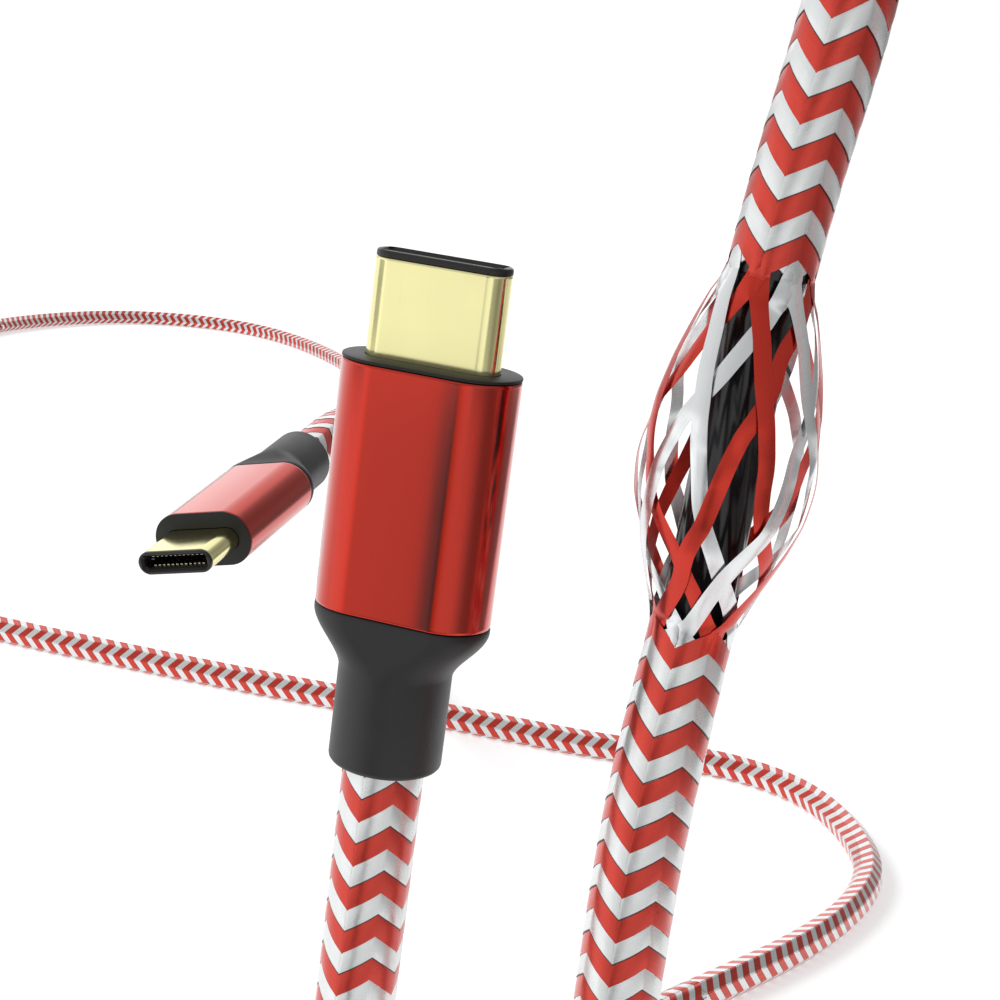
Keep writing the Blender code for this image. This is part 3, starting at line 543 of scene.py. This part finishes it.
def grained_finish(name, dark, light, roughness, metallic=0.0, scale=9000.0, broad=300.0,
                   strength=0.2, coat=0.0, specular=0.5):
    """A finish with fine grain: colour and roughness vary broadly, and the grain stands up."""
    return patterned_finish(
        name, GRAIN, {"Scale": scale, "Broad Scale": broad}, "Mask", (dark, light),
        (roughness - 0.03, roughness + 0.04), (strength, 0.00002),
        {"Metallic": metallic, "Coat Weight": coat, "Specular IOR Level": specular})


jacket_black = grained_finish("black jacket", (0.010, 0.010, 0.011), (0.018, 0.018, 0.020), 0.30)


# ---------------------------------------------------------------- stretches of the cable
# The cord of tapes over a black jacket, in the stretches it is posed by: the near drop, the two
# strands, the loops on the floor and the far arc, which meet end to end.
NEAR_SECTION = [(-1, 0.00002), (-0.55, 0), (0.55, 0), (1, 0.00002), (1, TAPE_THICKNESS),
                (-1, TAPE_THICKNESS)]
FAR_SECTION = [(-1, 0), (1, 0), (1, TAPE_THICKNESS), (-1, TAPE_THICKNESS)]
NEAR = (NEAR_SECTION, MIDDLE_STEPS)
FAR = (FAR_SECTION, COARSE_STEPS)
HALF_GAP = 0.00002
IN_PLUG = 0.0012
drop_end, loop_start, loop_end, arc_end = (
    run_of(point) for point in (NEAR_DROP[-1], RIGHT_LOOP[0], RIGHT_LOOP[-1], LEFT_ARC[-1]))
# Each stretch's name, start, end and make, and the lengths between which its steps are fine.
STRETCHES = [
    ("near_drop", -IN_PLUG, drop_end - HALF_GAP, NEAR, (-0.01, 0.035)),
    ("strand_upper", drop_end + HALF_GAP, WINDOW_START, NEAR, (WINDOW_START - 0.030, 9)),
    ("strand_lower", WINDOW_END, loop_start - HALF_GAP, NEAR, (0, WINDOW_END + 0.035)),
    ("right_loop", loop_start + HALF_GAP, loop_end - HALF_GAP, FAR, (0, 0)),
    ("left_arc", loop_end + HALF_GAP, arc_end - HALF_GAP, FAR, (0, 0)),
    ("far_arc", arc_end + HALF_GAP, CABLE_LENGTH + IN_PLUG, FAR, (CABLE_LENGTH - 0.045, 9)),
]
for name, start, end, make, fine in STRETCHES:
    points, faces, finish_of, uv = braid_mesh(start, end, *make, fine)
    piece = new_piece(f"braid_{name}", points, faces, (red_tape, white_tape, jacket_black),
                      finish_of, uv)
    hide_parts(f"cable_{name}")


# ---------------------------------------------------------------- window in the braid
# The sixteen tapes go on, bowed out in a cage 10 mm wide, and cross over each other. In it runs the
# cable's black core, extruded over its twisted wires, whose lay shows through.
STRAYS = {
    1: [(0, 0.62, -4, 0.14), (7, 0.84, -7, 0.12), (1, 0.30, -8, 0.15), (6, 0.72, 8, 0.12),
        (3, 0.50, 6, 0.20), (4, 0.40, -5, 0.20)],
    -1: [(0, 0.30, 8, 0.14), (2, 0.17, -9, 0.08), (2, 0.85, 8, 0.09), (3, 0.78, -5, 0.10),
         (5, 0.50, -6, 0.20), (6, 0.45, 5, 0.20)],
}
WINDOW_SECTION = [(-1, 0.00002), (-0.6, 0), (0, -0.00001), (0.6, 0), (1, 0.00002),
                  (1, TAPE_THICKNESS), (0, TAPE_THICKNESS), (-1, TAPE_THICKNESS)]
open_white = tape_finish("opened white tape", (0.76, 0.78, 0.79), (0.84, 0.86, 0.87),
                         0.22, 0.94, 0.2)
open_red = tape_finish("opened red tape", (0.56, 0.018, 0.004), (0.64, 0.026, 0.007),
                       0.24, 0.86, 0.6)
window_run = np.linspace(WINDOW_START, WINDOW_END, 130)
for name, hand in (("right_hand", 1), ("left_hand", -1)):
    grid, grid_uv = tape_grid(window_run, hand, WINDOW_SECTION, STRAYS[hand])
    faces, finish_of = tape_faces(len(window_run), len(WINDOW_SECTION), hand)
    piece = new_piece(f"opened_tapes_{name}", grid, faces, (open_red, open_white), finish_of,
                      grid_uv)
    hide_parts(f"window_tapes_{name}")

CORE_RADIUS = 0.00200
CORE_LOBES = 11
CORE_SWELL = 0.00005
CORE_LAY = 0.060


def core_surface(run, turn):
    """A round bar whose radius swells and shrinks CORE_LOBES times round it, twisted as it goes."""
    twist = (run[:, None] - WINDOW_START) / CORE_LAY * 2 * np.pi
    radius = CORE_RADIUS + CORE_SWELL * np.abs(np.cos(CORE_LOBES / 2 * (turn[None, :] - twist)))
    rings = (np.cos(turn)[None, :, None] * on_route(run, SIDE)[:, None]
             + np.sin(turn)[None, :, None] * on_route(run, ACROSS)[:, None])
    return on_route(run, LINE)[:, None] + radius[..., None] * rings


core_run = np.linspace(WINDOW_START - 0.0008, WINDOW_END + 0.0008, 60)
core_turn = np.linspace(0, 2 * np.pi, 12 * CORE_LOBES, endpoint=False)
core_black = grained_finish("glossy black core", (0.008, 0.008, 0.009), (0.016, 0.016, 0.018), 0.20,
                            scale=2500.0, strength=0.15)
window_core = new_piece("core", core_surface(core_run, core_turn),
                        closed_grid(len(core_run), len(core_turn)), (core_black,))
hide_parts("window_core")


# ---------------------------------------------------------------- plug shell
# A seamless shell drawn from steel, 8.25 x 2.40 mm outside, and plated in bright gold. Its rear
# is held in the mould.
SHELL_WIDTH = 0.00825
SHELL_HEIGHT = 0.00240
SHELL_WALL = 0.00027
SHELL_EXPOSED = 0.00575
SHELL_BURIED = 0.0055
PLUGS = (("near", Matrix.Identity(4)), ("far", FAR_PLUG_PLACE))


def rounded_outline(width, height, radius, count=28):
    """Points anticlockwise round a rounded rectangle: count on each corner's arc, and the straight
    sides between the arcs."""
    turn = np.linspace(0, np.pi / 2, count)
    corners = []
    for quarter, (side_x, side_y) in enumerate(((1, 1), (-1, 1), (-1, -1), (1, -1))):
        middle = np.array([side_x * (width / 2 - radius), side_y * (height / 2 - radius)])
        turned = turn + quarter * np.pi / 2
        corners.append(middle + radius * np.stack((np.cos(turned), np.sin(turned)), axis=1))
    return np.concatenate(corners)


def stadium(width, height):
    """Straight sides and round ends, a hair flatter than half circles, so that no points meet."""
    return rounded_outline(width, height, min(width, height) / 2 * 0.9999)


def stadium_rings(width, height, profile):
    """Sections for carried_profile: the stadium drawn in by each inset of the profile, at its z."""
    return [(stadium(width - 2 * inset, height - 2 * inset), z) for inset, z in profile]


def carried_profile(name, plug, place, sections, finishes, crease=30):
    """A closed surface through sections (outline, z), the last joined to the first, in a plug's
    place. The UV map runs round the outline and along the profile, in millimetres."""
    count = len(sections[0][0])
    rings = np.array([np.column_stack((shape, np.full(count, z))) for shape, z in sections])
    steps = np.linalg.norm(np.diff(rings, axis=0), axis=2).mean(axis=1)
    down = np.concatenate(([0.0], np.cumsum(steps)))
    round_it = np.concatenate(([0.0], np.cumsum(np.linalg.norm(np.diff(rings[0], axis=0), axis=1))))
    uv = np.stack(np.meshgrid(down, round_it, indexing="ij"), axis=-1)[..., ::-1] * 1000
    turned = np.array(place.to_3x3())
    points = rings.reshape(-1, 3) @ turned.T + np.array(place.translation)
    row, column = np.meshgrid(np.arange(len(sections)), np.arange(count), indexing="ij")
    next_row, after = (row + 1) % len(sections), (column + 1) % count
    faces = np.stack((row * count + column, next_row * count + column,
                      next_row * count + after, row * count + after), axis=-1).reshape(-1, 4)
    piece = new_piece(f"{plug}_{name}", points, faces, finishes, uv=uv, crease=crease)
    return piece


def brushed_group():
    """Brushing along the plug: fine lines in the UV map, drawn out 80 times along the plug."""
    group, given, result = node_group("brushing", {"Fineness": 1.0}, ("Mask", "Height"))
    where = node(group, "ShaderNodeUVMap", uv_map="lengthwise")["UV"]
    drawn = node(group, "ShaderNodeVectorMath", {0: where, 1: (24.0, 0.3, 1.0)},
                 operation="MULTIPLY")["Vector"]
    scaled = node(group, "ShaderNodeVectorMath", {0: drawn, "Scale": given["Fineness"]},
                  operation="SCALE")["Vector"]
    lines = node(group, "ShaderNodeTexNoise", {"Vector": scaled, "Scale": 1.0, "Detail": 4.0,
                                               "Roughness": 0.65})
    clouds = node(group, "ShaderNodeTexNoise", {"Vector": where, "Scale": 0.35, "Detail": 2.0})
    feed(group, result, {"Height": lines["Fac"], "Mask": clouds["Fac"]})
    return group


BRUSHING = brushed_group()


def metal_finish(name, dark, light, roughness, fineness, strength, coat=0.0):
    """Metal whose colour and roughness follow the brushing."""
    return patterned_finish(
        name, BRUSHING, {"Fineness": fineness}, "Height", (dark, light),
        (roughness * 0.85, roughness * 1.15), (strength, 0.00001),
        {"Metallic": 1.0, "Coat Weight": coat, "Coat Roughness": 0.20})


gold_plate = metal_finish("gold plate", (0.86, 0.80, 0.40), (0.90, 0.85, 0.45), 0.16, 1.0, 0.015)
shell_profile = [
    (0.00004, SHELL_EXPOSED), (0.00001, SHELL_EXPOSED - 0.00003), (0, SHELL_EXPOSED - 0.00006),
    (0, SHELL_EXPOSED - 0.00014), (0, -SHELL_BURIED), (SHELL_WALL, -SHELL_BURIED),
    (SHELL_WALL, SHELL_EXPOSED),
]
for plug, place in PLUGS:
    shell = carried_profile("gold_shell", plug, place,
                            stadium_rings(SHELL_WIDTH, SHELL_HEIGHT, shell_profile), (gold_plate,))
    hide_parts(f"{plug}_shell")


# ---------------------------------------------------------------- mouth housing
# The black plastic moulding that lines the shell and carries the contacts. It goes in from the
# front, and its edge rims the shell's mouth.
MOUTH_RIM = 0.00045
MOUTH_WIDTH = 0.0069
MOUTH_HEIGHT = 0.00126
FIT = 0.00005
HOUSING_BACK_Z = -0.00055
SPRING_SEAT = 0.00013
SPRING_SEAT_TOP = SHELL_EXPOSED - 0.0003
SPRING_SEAT_BOTTOM = SHELL_EXPOSED - 0.0020
mouth_z = SHELL_EXPOSED + MOUTH_RIM
housing_inset = SHELL_WALL + FIT
seat_inset = housing_inset + SPRING_SEAT
nose_black = grained_finish("black moulding", (0.012, 0.011, 0.010), (0.016, 0.015, 0.014), 0.34,
                            scale=12000.0, strength=0.10, specular=0.45)
housing_profile = [
    (0.00020, mouth_z), (0.00008, mouth_z - 0.00003), (0.00003, mouth_z - 0.00008),
    (0, mouth_z - 0.00018), (0, SHELL_EXPOSED + FIT), (housing_inset, SHELL_EXPOSED + FIT),
    (housing_inset, SPRING_SEAT_TOP), (seat_inset, SPRING_SEAT_TOP),
    (seat_inset, SPRING_SEAT_BOTTOM), (housing_inset, SPRING_SEAT_BOTTOM),
    (housing_inset, HOUSING_BACK_Z),
]
bore_profile = [(0, HOUSING_BACK_Z), (0, mouth_z - 0.00045), (-0.00012, mouth_z - 0.00024),
                (-0.00024, mouth_z - 0.00007), (-0.00028, mouth_z)]
for plug, place in PLUGS:
    rings = stadium_rings(SHELL_WIDTH, SHELL_HEIGHT, housing_profile)
    for inset, z in bore_profile:
        width, height = MOUTH_WIDTH - 2 * inset, MOUTH_HEIGHT - 2 * inset
        rings.append((rounded_outline(width, height, MOUTH_HEIGHT / 4), z))
    housing = carried_profile("mouth_lining", plug, place, rings, (nose_black,))
    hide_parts(f"{plug}_mouth_housing")


# ---------------------------------------------------------------- inner mould
# The black plastic body under the sleeve, moulded round the shell's rear. Its front is the plug's
# dark end face.
GRIP_WIDTH = 0.0109
GRIP_HEIGHT = 0.0058
GRIP_WALL = 0.0004
GRIP_LENGTH = 0.0149
END_FACE = 0.00018
SPIGOT_LENGTH = 0.0021
CAVITY_WIDTH = 0.0091
CAVITY_HEIGHT = 0.0033
CAVITY_CORNER = 0.00135
grip_back_z = -END_FACE - FIT - GRIP_LENGTH
spigot_front_z = grip_back_z + SPIGOT_LENGTH
mould_inset = GRIP_WALL + FIT
mould_black = grained_finish("dark mould", (0.012, 0.012, 0.011), (0.018, 0.018, 0.016), 0.44,
                             scale=11000.0, strength=0.2, specular=0.3)
mould_profile = [
    (0.00010, 0), (0.00003, -0.00003), (0, -0.00008), (0, -END_FACE), (mould_inset, -END_FACE),
    (mould_inset, spigot_front_z + FIT),
]
cavity = rounded_outline(CAVITY_WIDTH, CAVITY_HEIGHT, CAVITY_CORNER)
slot_shape = stadium(SHELL_WIDTH + 2 * FIT, SHELL_HEIGHT + 2 * FIT)
for plug, place in PLUGS:
    rings = stadium_rings(GRIP_WIDTH, GRIP_HEIGHT, mould_profile)
    rings += [(cavity, spigot_front_z + FIT), (cavity, -SHELL_BURIED - FIT),
              (slot_shape, -SHELL_BURIED - FIT), (slot_shape, 0)]
    mould = carried_profile("end_face", plug, place, rings, (mould_black,))
    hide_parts(f"{plug}_inner_mould")


# ---------------------------------------------------------------- grip sleeve
# A sleeve drawn from aluminium, brushed, anodised satin red and plain all over. It slides over
# the mould up to the end face.
GRIP_GIRTH = 28.4
CROWN = 0.00018


def crown_group():
    """The sleeve's broad faces swell a little in the middle: height is that swelling, from the UV
    map, which runs round the sleeve in millimetres."""
    group, _, result = node_group("crown", {}, ("Height",))
    where = node(group, "ShaderNodeUVMap", uv_map="lengthwise")["UV"]
    round_it = node(group, "ShaderNodeSeparateXYZ", {"Vector": where})["X"]
    angle = node(group, "ShaderNodeMath", {0: round_it, 1: 4 * math.pi / GRIP_GIRTH, 2: -math.pi},
                 operation="MULTIPLY_ADD")["Value"]
    swell = node(group, "ShaderNodeMath", {0: angle}, operation="COSINE")
    feed(group, result, {"Height": swell["Value"]})
    return group


sleeve_red = metal_finish("anodised red", (0.50, 0.015, 0.001), (0.54, 0.019, 0.002),
                          0.13, 1.3, 0.04, coat=0.8)
tree = sleeve_red.node_tree
crown = node(tree, "ShaderNodeGroup", node_tree=crown_group())["Height"]
swollen = node(tree, "ShaderNodeBump", {"Height": crown, "Strength": 1.0, "Distance": CROWN})
feed(tree, tree.nodes["Bump"], {"Normal": swollen["Normal"]})
sleeve_top = -END_FACE - FIT
sleeve_profile = [
    (0.00010, sleeve_top), (0.00003, sleeve_top - 0.00003), (0, sleeve_top - 0.00010),
    (0, sleeve_top - 0.00022), (0, grip_back_z + 0.00022), (0, grip_back_z + 0.00010),
    (0.00003, grip_back_z + 0.00003), (0.00010, grip_back_z),
    (GRIP_WALL, grip_back_z), (GRIP_WALL, sleeve_top),
]
for plug, place in PLUGS:
    sleeve = carried_profile("red_sleeve", plug, place,
                             stadium_rings(GRIP_WIDTH, GRIP_HEIGHT, sleeve_profile), (sleeve_red,))
    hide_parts(f"{plug}_grip_sleeve")


# ---------------------------------------------------------------- strain relief
# A soft black rubber moulding, finely grained. It fills the sleeve's rear, holds the crimped end of
# the cable, and tapers to a round neck.
RELIEF_SHOULDER = 0.0004
RELIEF_TAPER = 0.0031
NECK_DIAMETER = 0.0069
NECK_EDGE = 0.00035
CRIMP_DEPTH = 0.0080
CRIMP_LENGTH = 0.0030
relief_black = grained_finish("grained black rubber", (0.009, 0.009, 0.010),
                              (0.015, 0.015, 0.016), 0.44, scale=5200.0, broad=260.0, strength=0.5)
relief_top = grip_back_z - FIT


def relief_rings():
    """The spigot in the sleeve, the shoulder, the taper from a stadium to a circle, the neck with
    its rounded end, and inside it the cable's bore, the crimp ring's seat and the funnel."""
    rings = stadium_rings(GRIP_WIDTH, GRIP_HEIGHT, [
        (mould_inset, spigot_front_z), (mould_inset, relief_top), (0.00012, relief_top),
        (0.00004, relief_top - 0.00004), (0, relief_top - 0.00012)])
    first, last = ease(0, -0.04, 1.04), ease(1, -0.04, 1.04)
    for share in np.linspace(0, 1, 19):
        blend = (ease(share, -0.04, 1.04) - first) / (last - first)
        width = GRIP_WIDTH + blend * (NECK_DIAMETER - GRIP_WIDTH)
        height = GRIP_HEIGHT + blend * (NECK_DIAMETER - GRIP_HEIGHT)
        rings.append((stadium(width, height),
                      relief_top - RELIEF_SHOULDER - share * RELIEF_TAPER))
    for turn in np.radians((0, 25, 50, 75, 90)):
        across = NECK_DIAMETER - 2 * NECK_EDGE * (1 - math.cos(turn))
        rings.append((stadium(across, across), PLUG_NECK_Z + NECK_EDGE * (1 - math.sin(turn))))
    bore = stadium(CABLE_DIAMETER + 2 * FIT, CABLE_DIAMETER + 2 * FIT)
    seat = stadium(CABLE_DIAMETER + 0.0008, CABLE_DIAMETER + 0.0008)
    crimp_top = PLUG_NECK_Z + CRIMP_DEPTH - FIT
    crimp_bottom = crimp_top - CRIMP_LENGTH
    rings += [(bore, PLUG_NECK_Z), (bore, crimp_bottom - FIT), (seat, crimp_bottom - FIT),
              (seat, crimp_top + FIT), (cavity, relief_top), (cavity, spigot_front_z)]
    return rings


for plug, place in PLUGS:
    relief = carried_profile("neck", plug, place, relief_rings(), (relief_black,), crease=40)
    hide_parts(f"{plug}_strain_relief")


# ---------------------------------------------------------------- pieces inside the plugs
# Contacts, holders, latch, springs, board, chip, can, crimp ring, wires and the cable's end: the
# CAD pieces themselves, each with its own finish.
contact_gold = grained_finish("contact gold", (0.88, 0.78, 0.50), (0.96, 0.88, 0.62), 0.20, 1.0,
                              scale=15000.0, strength=0.08)
holder_black = grained_finish("holder black", (0.014, 0.014, 0.015), (0.024, 0.024, 0.025), 0.45)
spring_steel = grained_finish("spring steel", (0.50, 0.50, 0.48), (0.66, 0.66, 0.64), 0.30, 1.0,
                              scale=14000.0, strength=0.1)
can_steel = grained_finish("tinned can", (0.58, 0.58, 0.57), (0.72, 0.72, 0.71), 0.36, 1.0,
                           broad=900.0)
board_green = grained_finish("board green", (0.012, 0.10, 0.040), (0.025, 0.18, 0.070), 0.34,
                             broad=1600.0, coat=0.4)
chip_black = grained_finish("chip black", (0.016, 0.016, 0.017), (0.028, 0.028, 0.030), 0.52,
                            scale=16000.0)
ring_brass = grained_finish("ring brass", (0.60, 0.42, 0.16), (0.76, 0.56, 0.26), 0.32, 1.0)
wire_finishes = {
    "power": grained_finish("red wire", (0.46, 0.025, 0.02), (0.58, 0.04, 0.03), 0.34),
    "ground": grained_finish("black wire", (0.012, 0.012, 0.012), (0.024, 0.024, 0.024), 0.34),
    "data_plus": grained_finish("green wire", (0.02, 0.24, 0.06), (0.04, 0.34, 0.09), 0.34),
    "data_minus": grained_finish("white wire", (0.66, 0.66, 0.64), (0.80, 0.80, 0.78), 0.34),
}
cable_end = grained_finish("trimmed braid", (0.42, 0.04, 0.03), (0.62, 0.10, 0.08), 0.5,
                           scale=4000.0, strength=0.5)
INSIDE = {
    "contact_row_upper": contact_gold, "contact_row_lower": contact_gold,
    "contact_holder_upper": holder_black, "contact_holder_lower": holder_black,
    "latch_plate": spring_steel, "ground_spring_upper": spring_steel,
    "ground_spring_lower": spring_steel, "circuit_board": board_green, "marker_chip": chip_black,
    "shield_can_upper": can_steel, "shield_can_lower": can_steel, "crimp_ring": ring_brass,
    "cable_end": cable_end, **{f"wire_{name}": made for name, made in wire_finishes.items()},
}
for plug, place in PLUGS:
    for name, made in INSIDE.items():
        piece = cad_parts[f"{plug}_{name}"]
        piece.data.materials.clear()
        piece.data.materials.append(made)


# ---------------------------------------------------------------- floor and light
# A pale floor under the cable, a white surround, and one soft light high on the left. In metal the
# surround shows as the panels of a light tent do, bright on the left, with narrow dark gaps.
FLOOR_LEFT, FLOOR_RIGHT, FLOOR_FRONT, FLOOR_BACK = -1.6, 0.2, -0.09, 3.0
floor_z = -0.112 - CABLE_DIAMETER / 2
floor_mesh = bpy.data.meshes.new("floor")
floor_mesh.from_pydata([(FLOOR_LEFT, FLOOR_FRONT, floor_z), (FLOOR_RIGHT, FLOOR_FRONT, floor_z),
                        (FLOOR_RIGHT, FLOOR_BACK, floor_z), (FLOOR_LEFT, FLOOR_BACK, floor_z)],
                       [], [(0, 1, 2, 3)])
floor = bpy.data.objects.new("floor", floor_mesh)
bpy.context.scene.collection.objects.link(floor)
pale = bpy.data.materials.new("pale floor")
pale.use_nodes = True
tree = pale.node_tree
shader = tree.nodes["Principled BSDF"]
feed(tree, shader, {"Base Color": (0.80, 0.80, 0.80), "Roughness": 0.9, "Specular IOR Level": 0.1})
rays = node(tree, "ShaderNodeLightPath")
seen = node(tree, "ShaderNodeMath", {0: rays["Is Camera Ray"], 1: rays["Is Glossy Ray"]},
            operation="MAXIMUM")["Value"]
lift = node(tree, "ShaderNodeMath", {0: seen, 1: 0.50}, operation="MULTIPLY")["Value"]
glow = node(tree, "ShaderNodeEmission", {"Color": (1, 1, 1), "Strength": lift})["Emission"]
both = node(tree, "ShaderNodeAddShader", {0: shader.outputs["BSDF"], 1: glow})["Shader"]
feed(tree, tree.nodes["Material Output"], {"Surface": both})
floor_mesh.materials.append(pale)


def studio_world():
    """White where the camera looks past the object, an even grey as light on the object, and for
    glossy rays panels: (direction in degrees to the right of the front, brightness). A narrow row
    of them hangs between broad ones, under a ceiling that is bright at the back."""
    world = bpy.data.worlds.new("studio")
    bpy.context.scene.world = world
    world.use_nodes = True
    tree = world.node_tree

    def ramp(places, socket):
        """A colour ramp of greys at these places, driven by the socket."""
        made = tree.nodes.new("ShaderNodeValToRGB")
        elements = made.color_ramp.elements
        elements.remove(elements[-1])
        for at, (place, grey) in enumerate(places):
            element = elements[0] if at == 0 else elements.new(place)
            element.position = place
            element.color = (grey, grey, grey, 1)
        feed(tree, made, {"Fac": socket})
        return made.outputs["Color"]

    where = node(tree, "ShaderNodeTexCoord")["Generated"]
    parts = node(tree, "ShaderNodeSeparateXYZ", {"Vector": where})
    minus_y = node(tree, "ShaderNodeMath", {0: parts["Y"], 1: -1}, operation="MULTIPLY")["Value"]
    azimuth = node(tree, "ShaderNodeMath", {0: parts["X"], 1: minus_y},
                   operation="ARCTAN2")["Value"]
    turn = node(tree, "ShaderNodeMapRange",
                {"Value": azimuth, "From Min": -math.pi, "From Max": math.pi})["Result"]
    height = node(tree, "ShaderNodeMapRange",
                  {"Value": parts["Z"], "From Min": -1.0, "From Max": 1.0})["Result"]
    narrow = [(-180, 1.0), (-165, 0.8), (-150, 0.60), (-97, 0.40), (-75, 0.12), (-60, 0.10),
              (-50, 0.16), (-45, 0.84), (26, 0.82), (32, 0.05), (62, 0.05), (84, 0.30), (110, 0.50),
              (147, 0.60), (165, 0.8), (180, 1.0)]
    broad = [(-180, 0.30), (-150, 0.32), (-118, 0.42), (-98, 0.70), (-84, 0.86), (-40, 0.84),
             (-32, 0.54), (-12.5, 0.52), (-11, 0.04), (-3, 0.04), (0, 0.44), (14, 0.60), (44, 0.58),
             (60, 0.36), (70, 0.22), (84, 0.20), (94, 0.26), (130, 0.20), (160, 0.16), (180, 0.30)]
    high = [(-180, 0.9), (-135, 0.95), (-105, 0.60), (-60, 0.56), (0, 0.40), (100, 0.30),
            (150, 0.20), (166, 0.40), (180, 0.9)]
    narrow, broad, high = (ramp([((degrees + 180) / 360, grey) for degrees, grey in panels], turn)
                           for panels in (narrow, broad, high))
    row = ramp([(0.410, 0.0), (0.414, 1.0), (0.443, 1.0), (0.450, 0.0)], height)
    ceiling = ramp([(0.52, 0.0), (0.57, 1.0)], height)
    fading = ramp([(0.0, 0.45), (0.16, 0.5), (0.30, 1.0), (0.62, 1.0), (0.82, 0.8), (1.0, 0.8)],
                  height)
    panels = blend_colour(tree, ceiling, blend_colour(tree, row, broad, narrow), high)
    faded = blend_colour(tree, 1.0, panels, fading, blend_type="MULTIPLY")
    strong = node(tree, "ShaderNodeVectorMath", {0: faded, "Scale": 1.5}, operation="SCALE")
    rays = node(tree, "ShaderNodeLightPath")
    straight = node(tree, "ShaderNodeMath",
                    {0: rays["Is Camera Ray"], 1: rays["Is Transmission Ray"]},
                    operation="MAXIMUM")["Value"]
    on_object = blend_colour(tree, rays["Is Glossy Ray"], (0.38, 0.38, 0.38), strong["Vector"])
    feed(tree, tree.nodes["Background"],
         {"Color": blend_colour(tree, straight, on_object, (1, 1, 1))})


studio_world()
sun = bpy.data.objects.new("soft light", bpy.data.lights.new("soft light", "SUN"))
bpy.context.scene.collection.objects.link(sun)
sun.data.energy = 2.1
sun.data.angle = math.radians(28)
sun.visible_glossy = False
sun.matrix_world = Vector((0.60, 0.52, -0.62)).to_track_quat("-Z", "Y").to_matrix().to_4x4()
bpy.context.scene.view_settings.view_transform = "Standard"
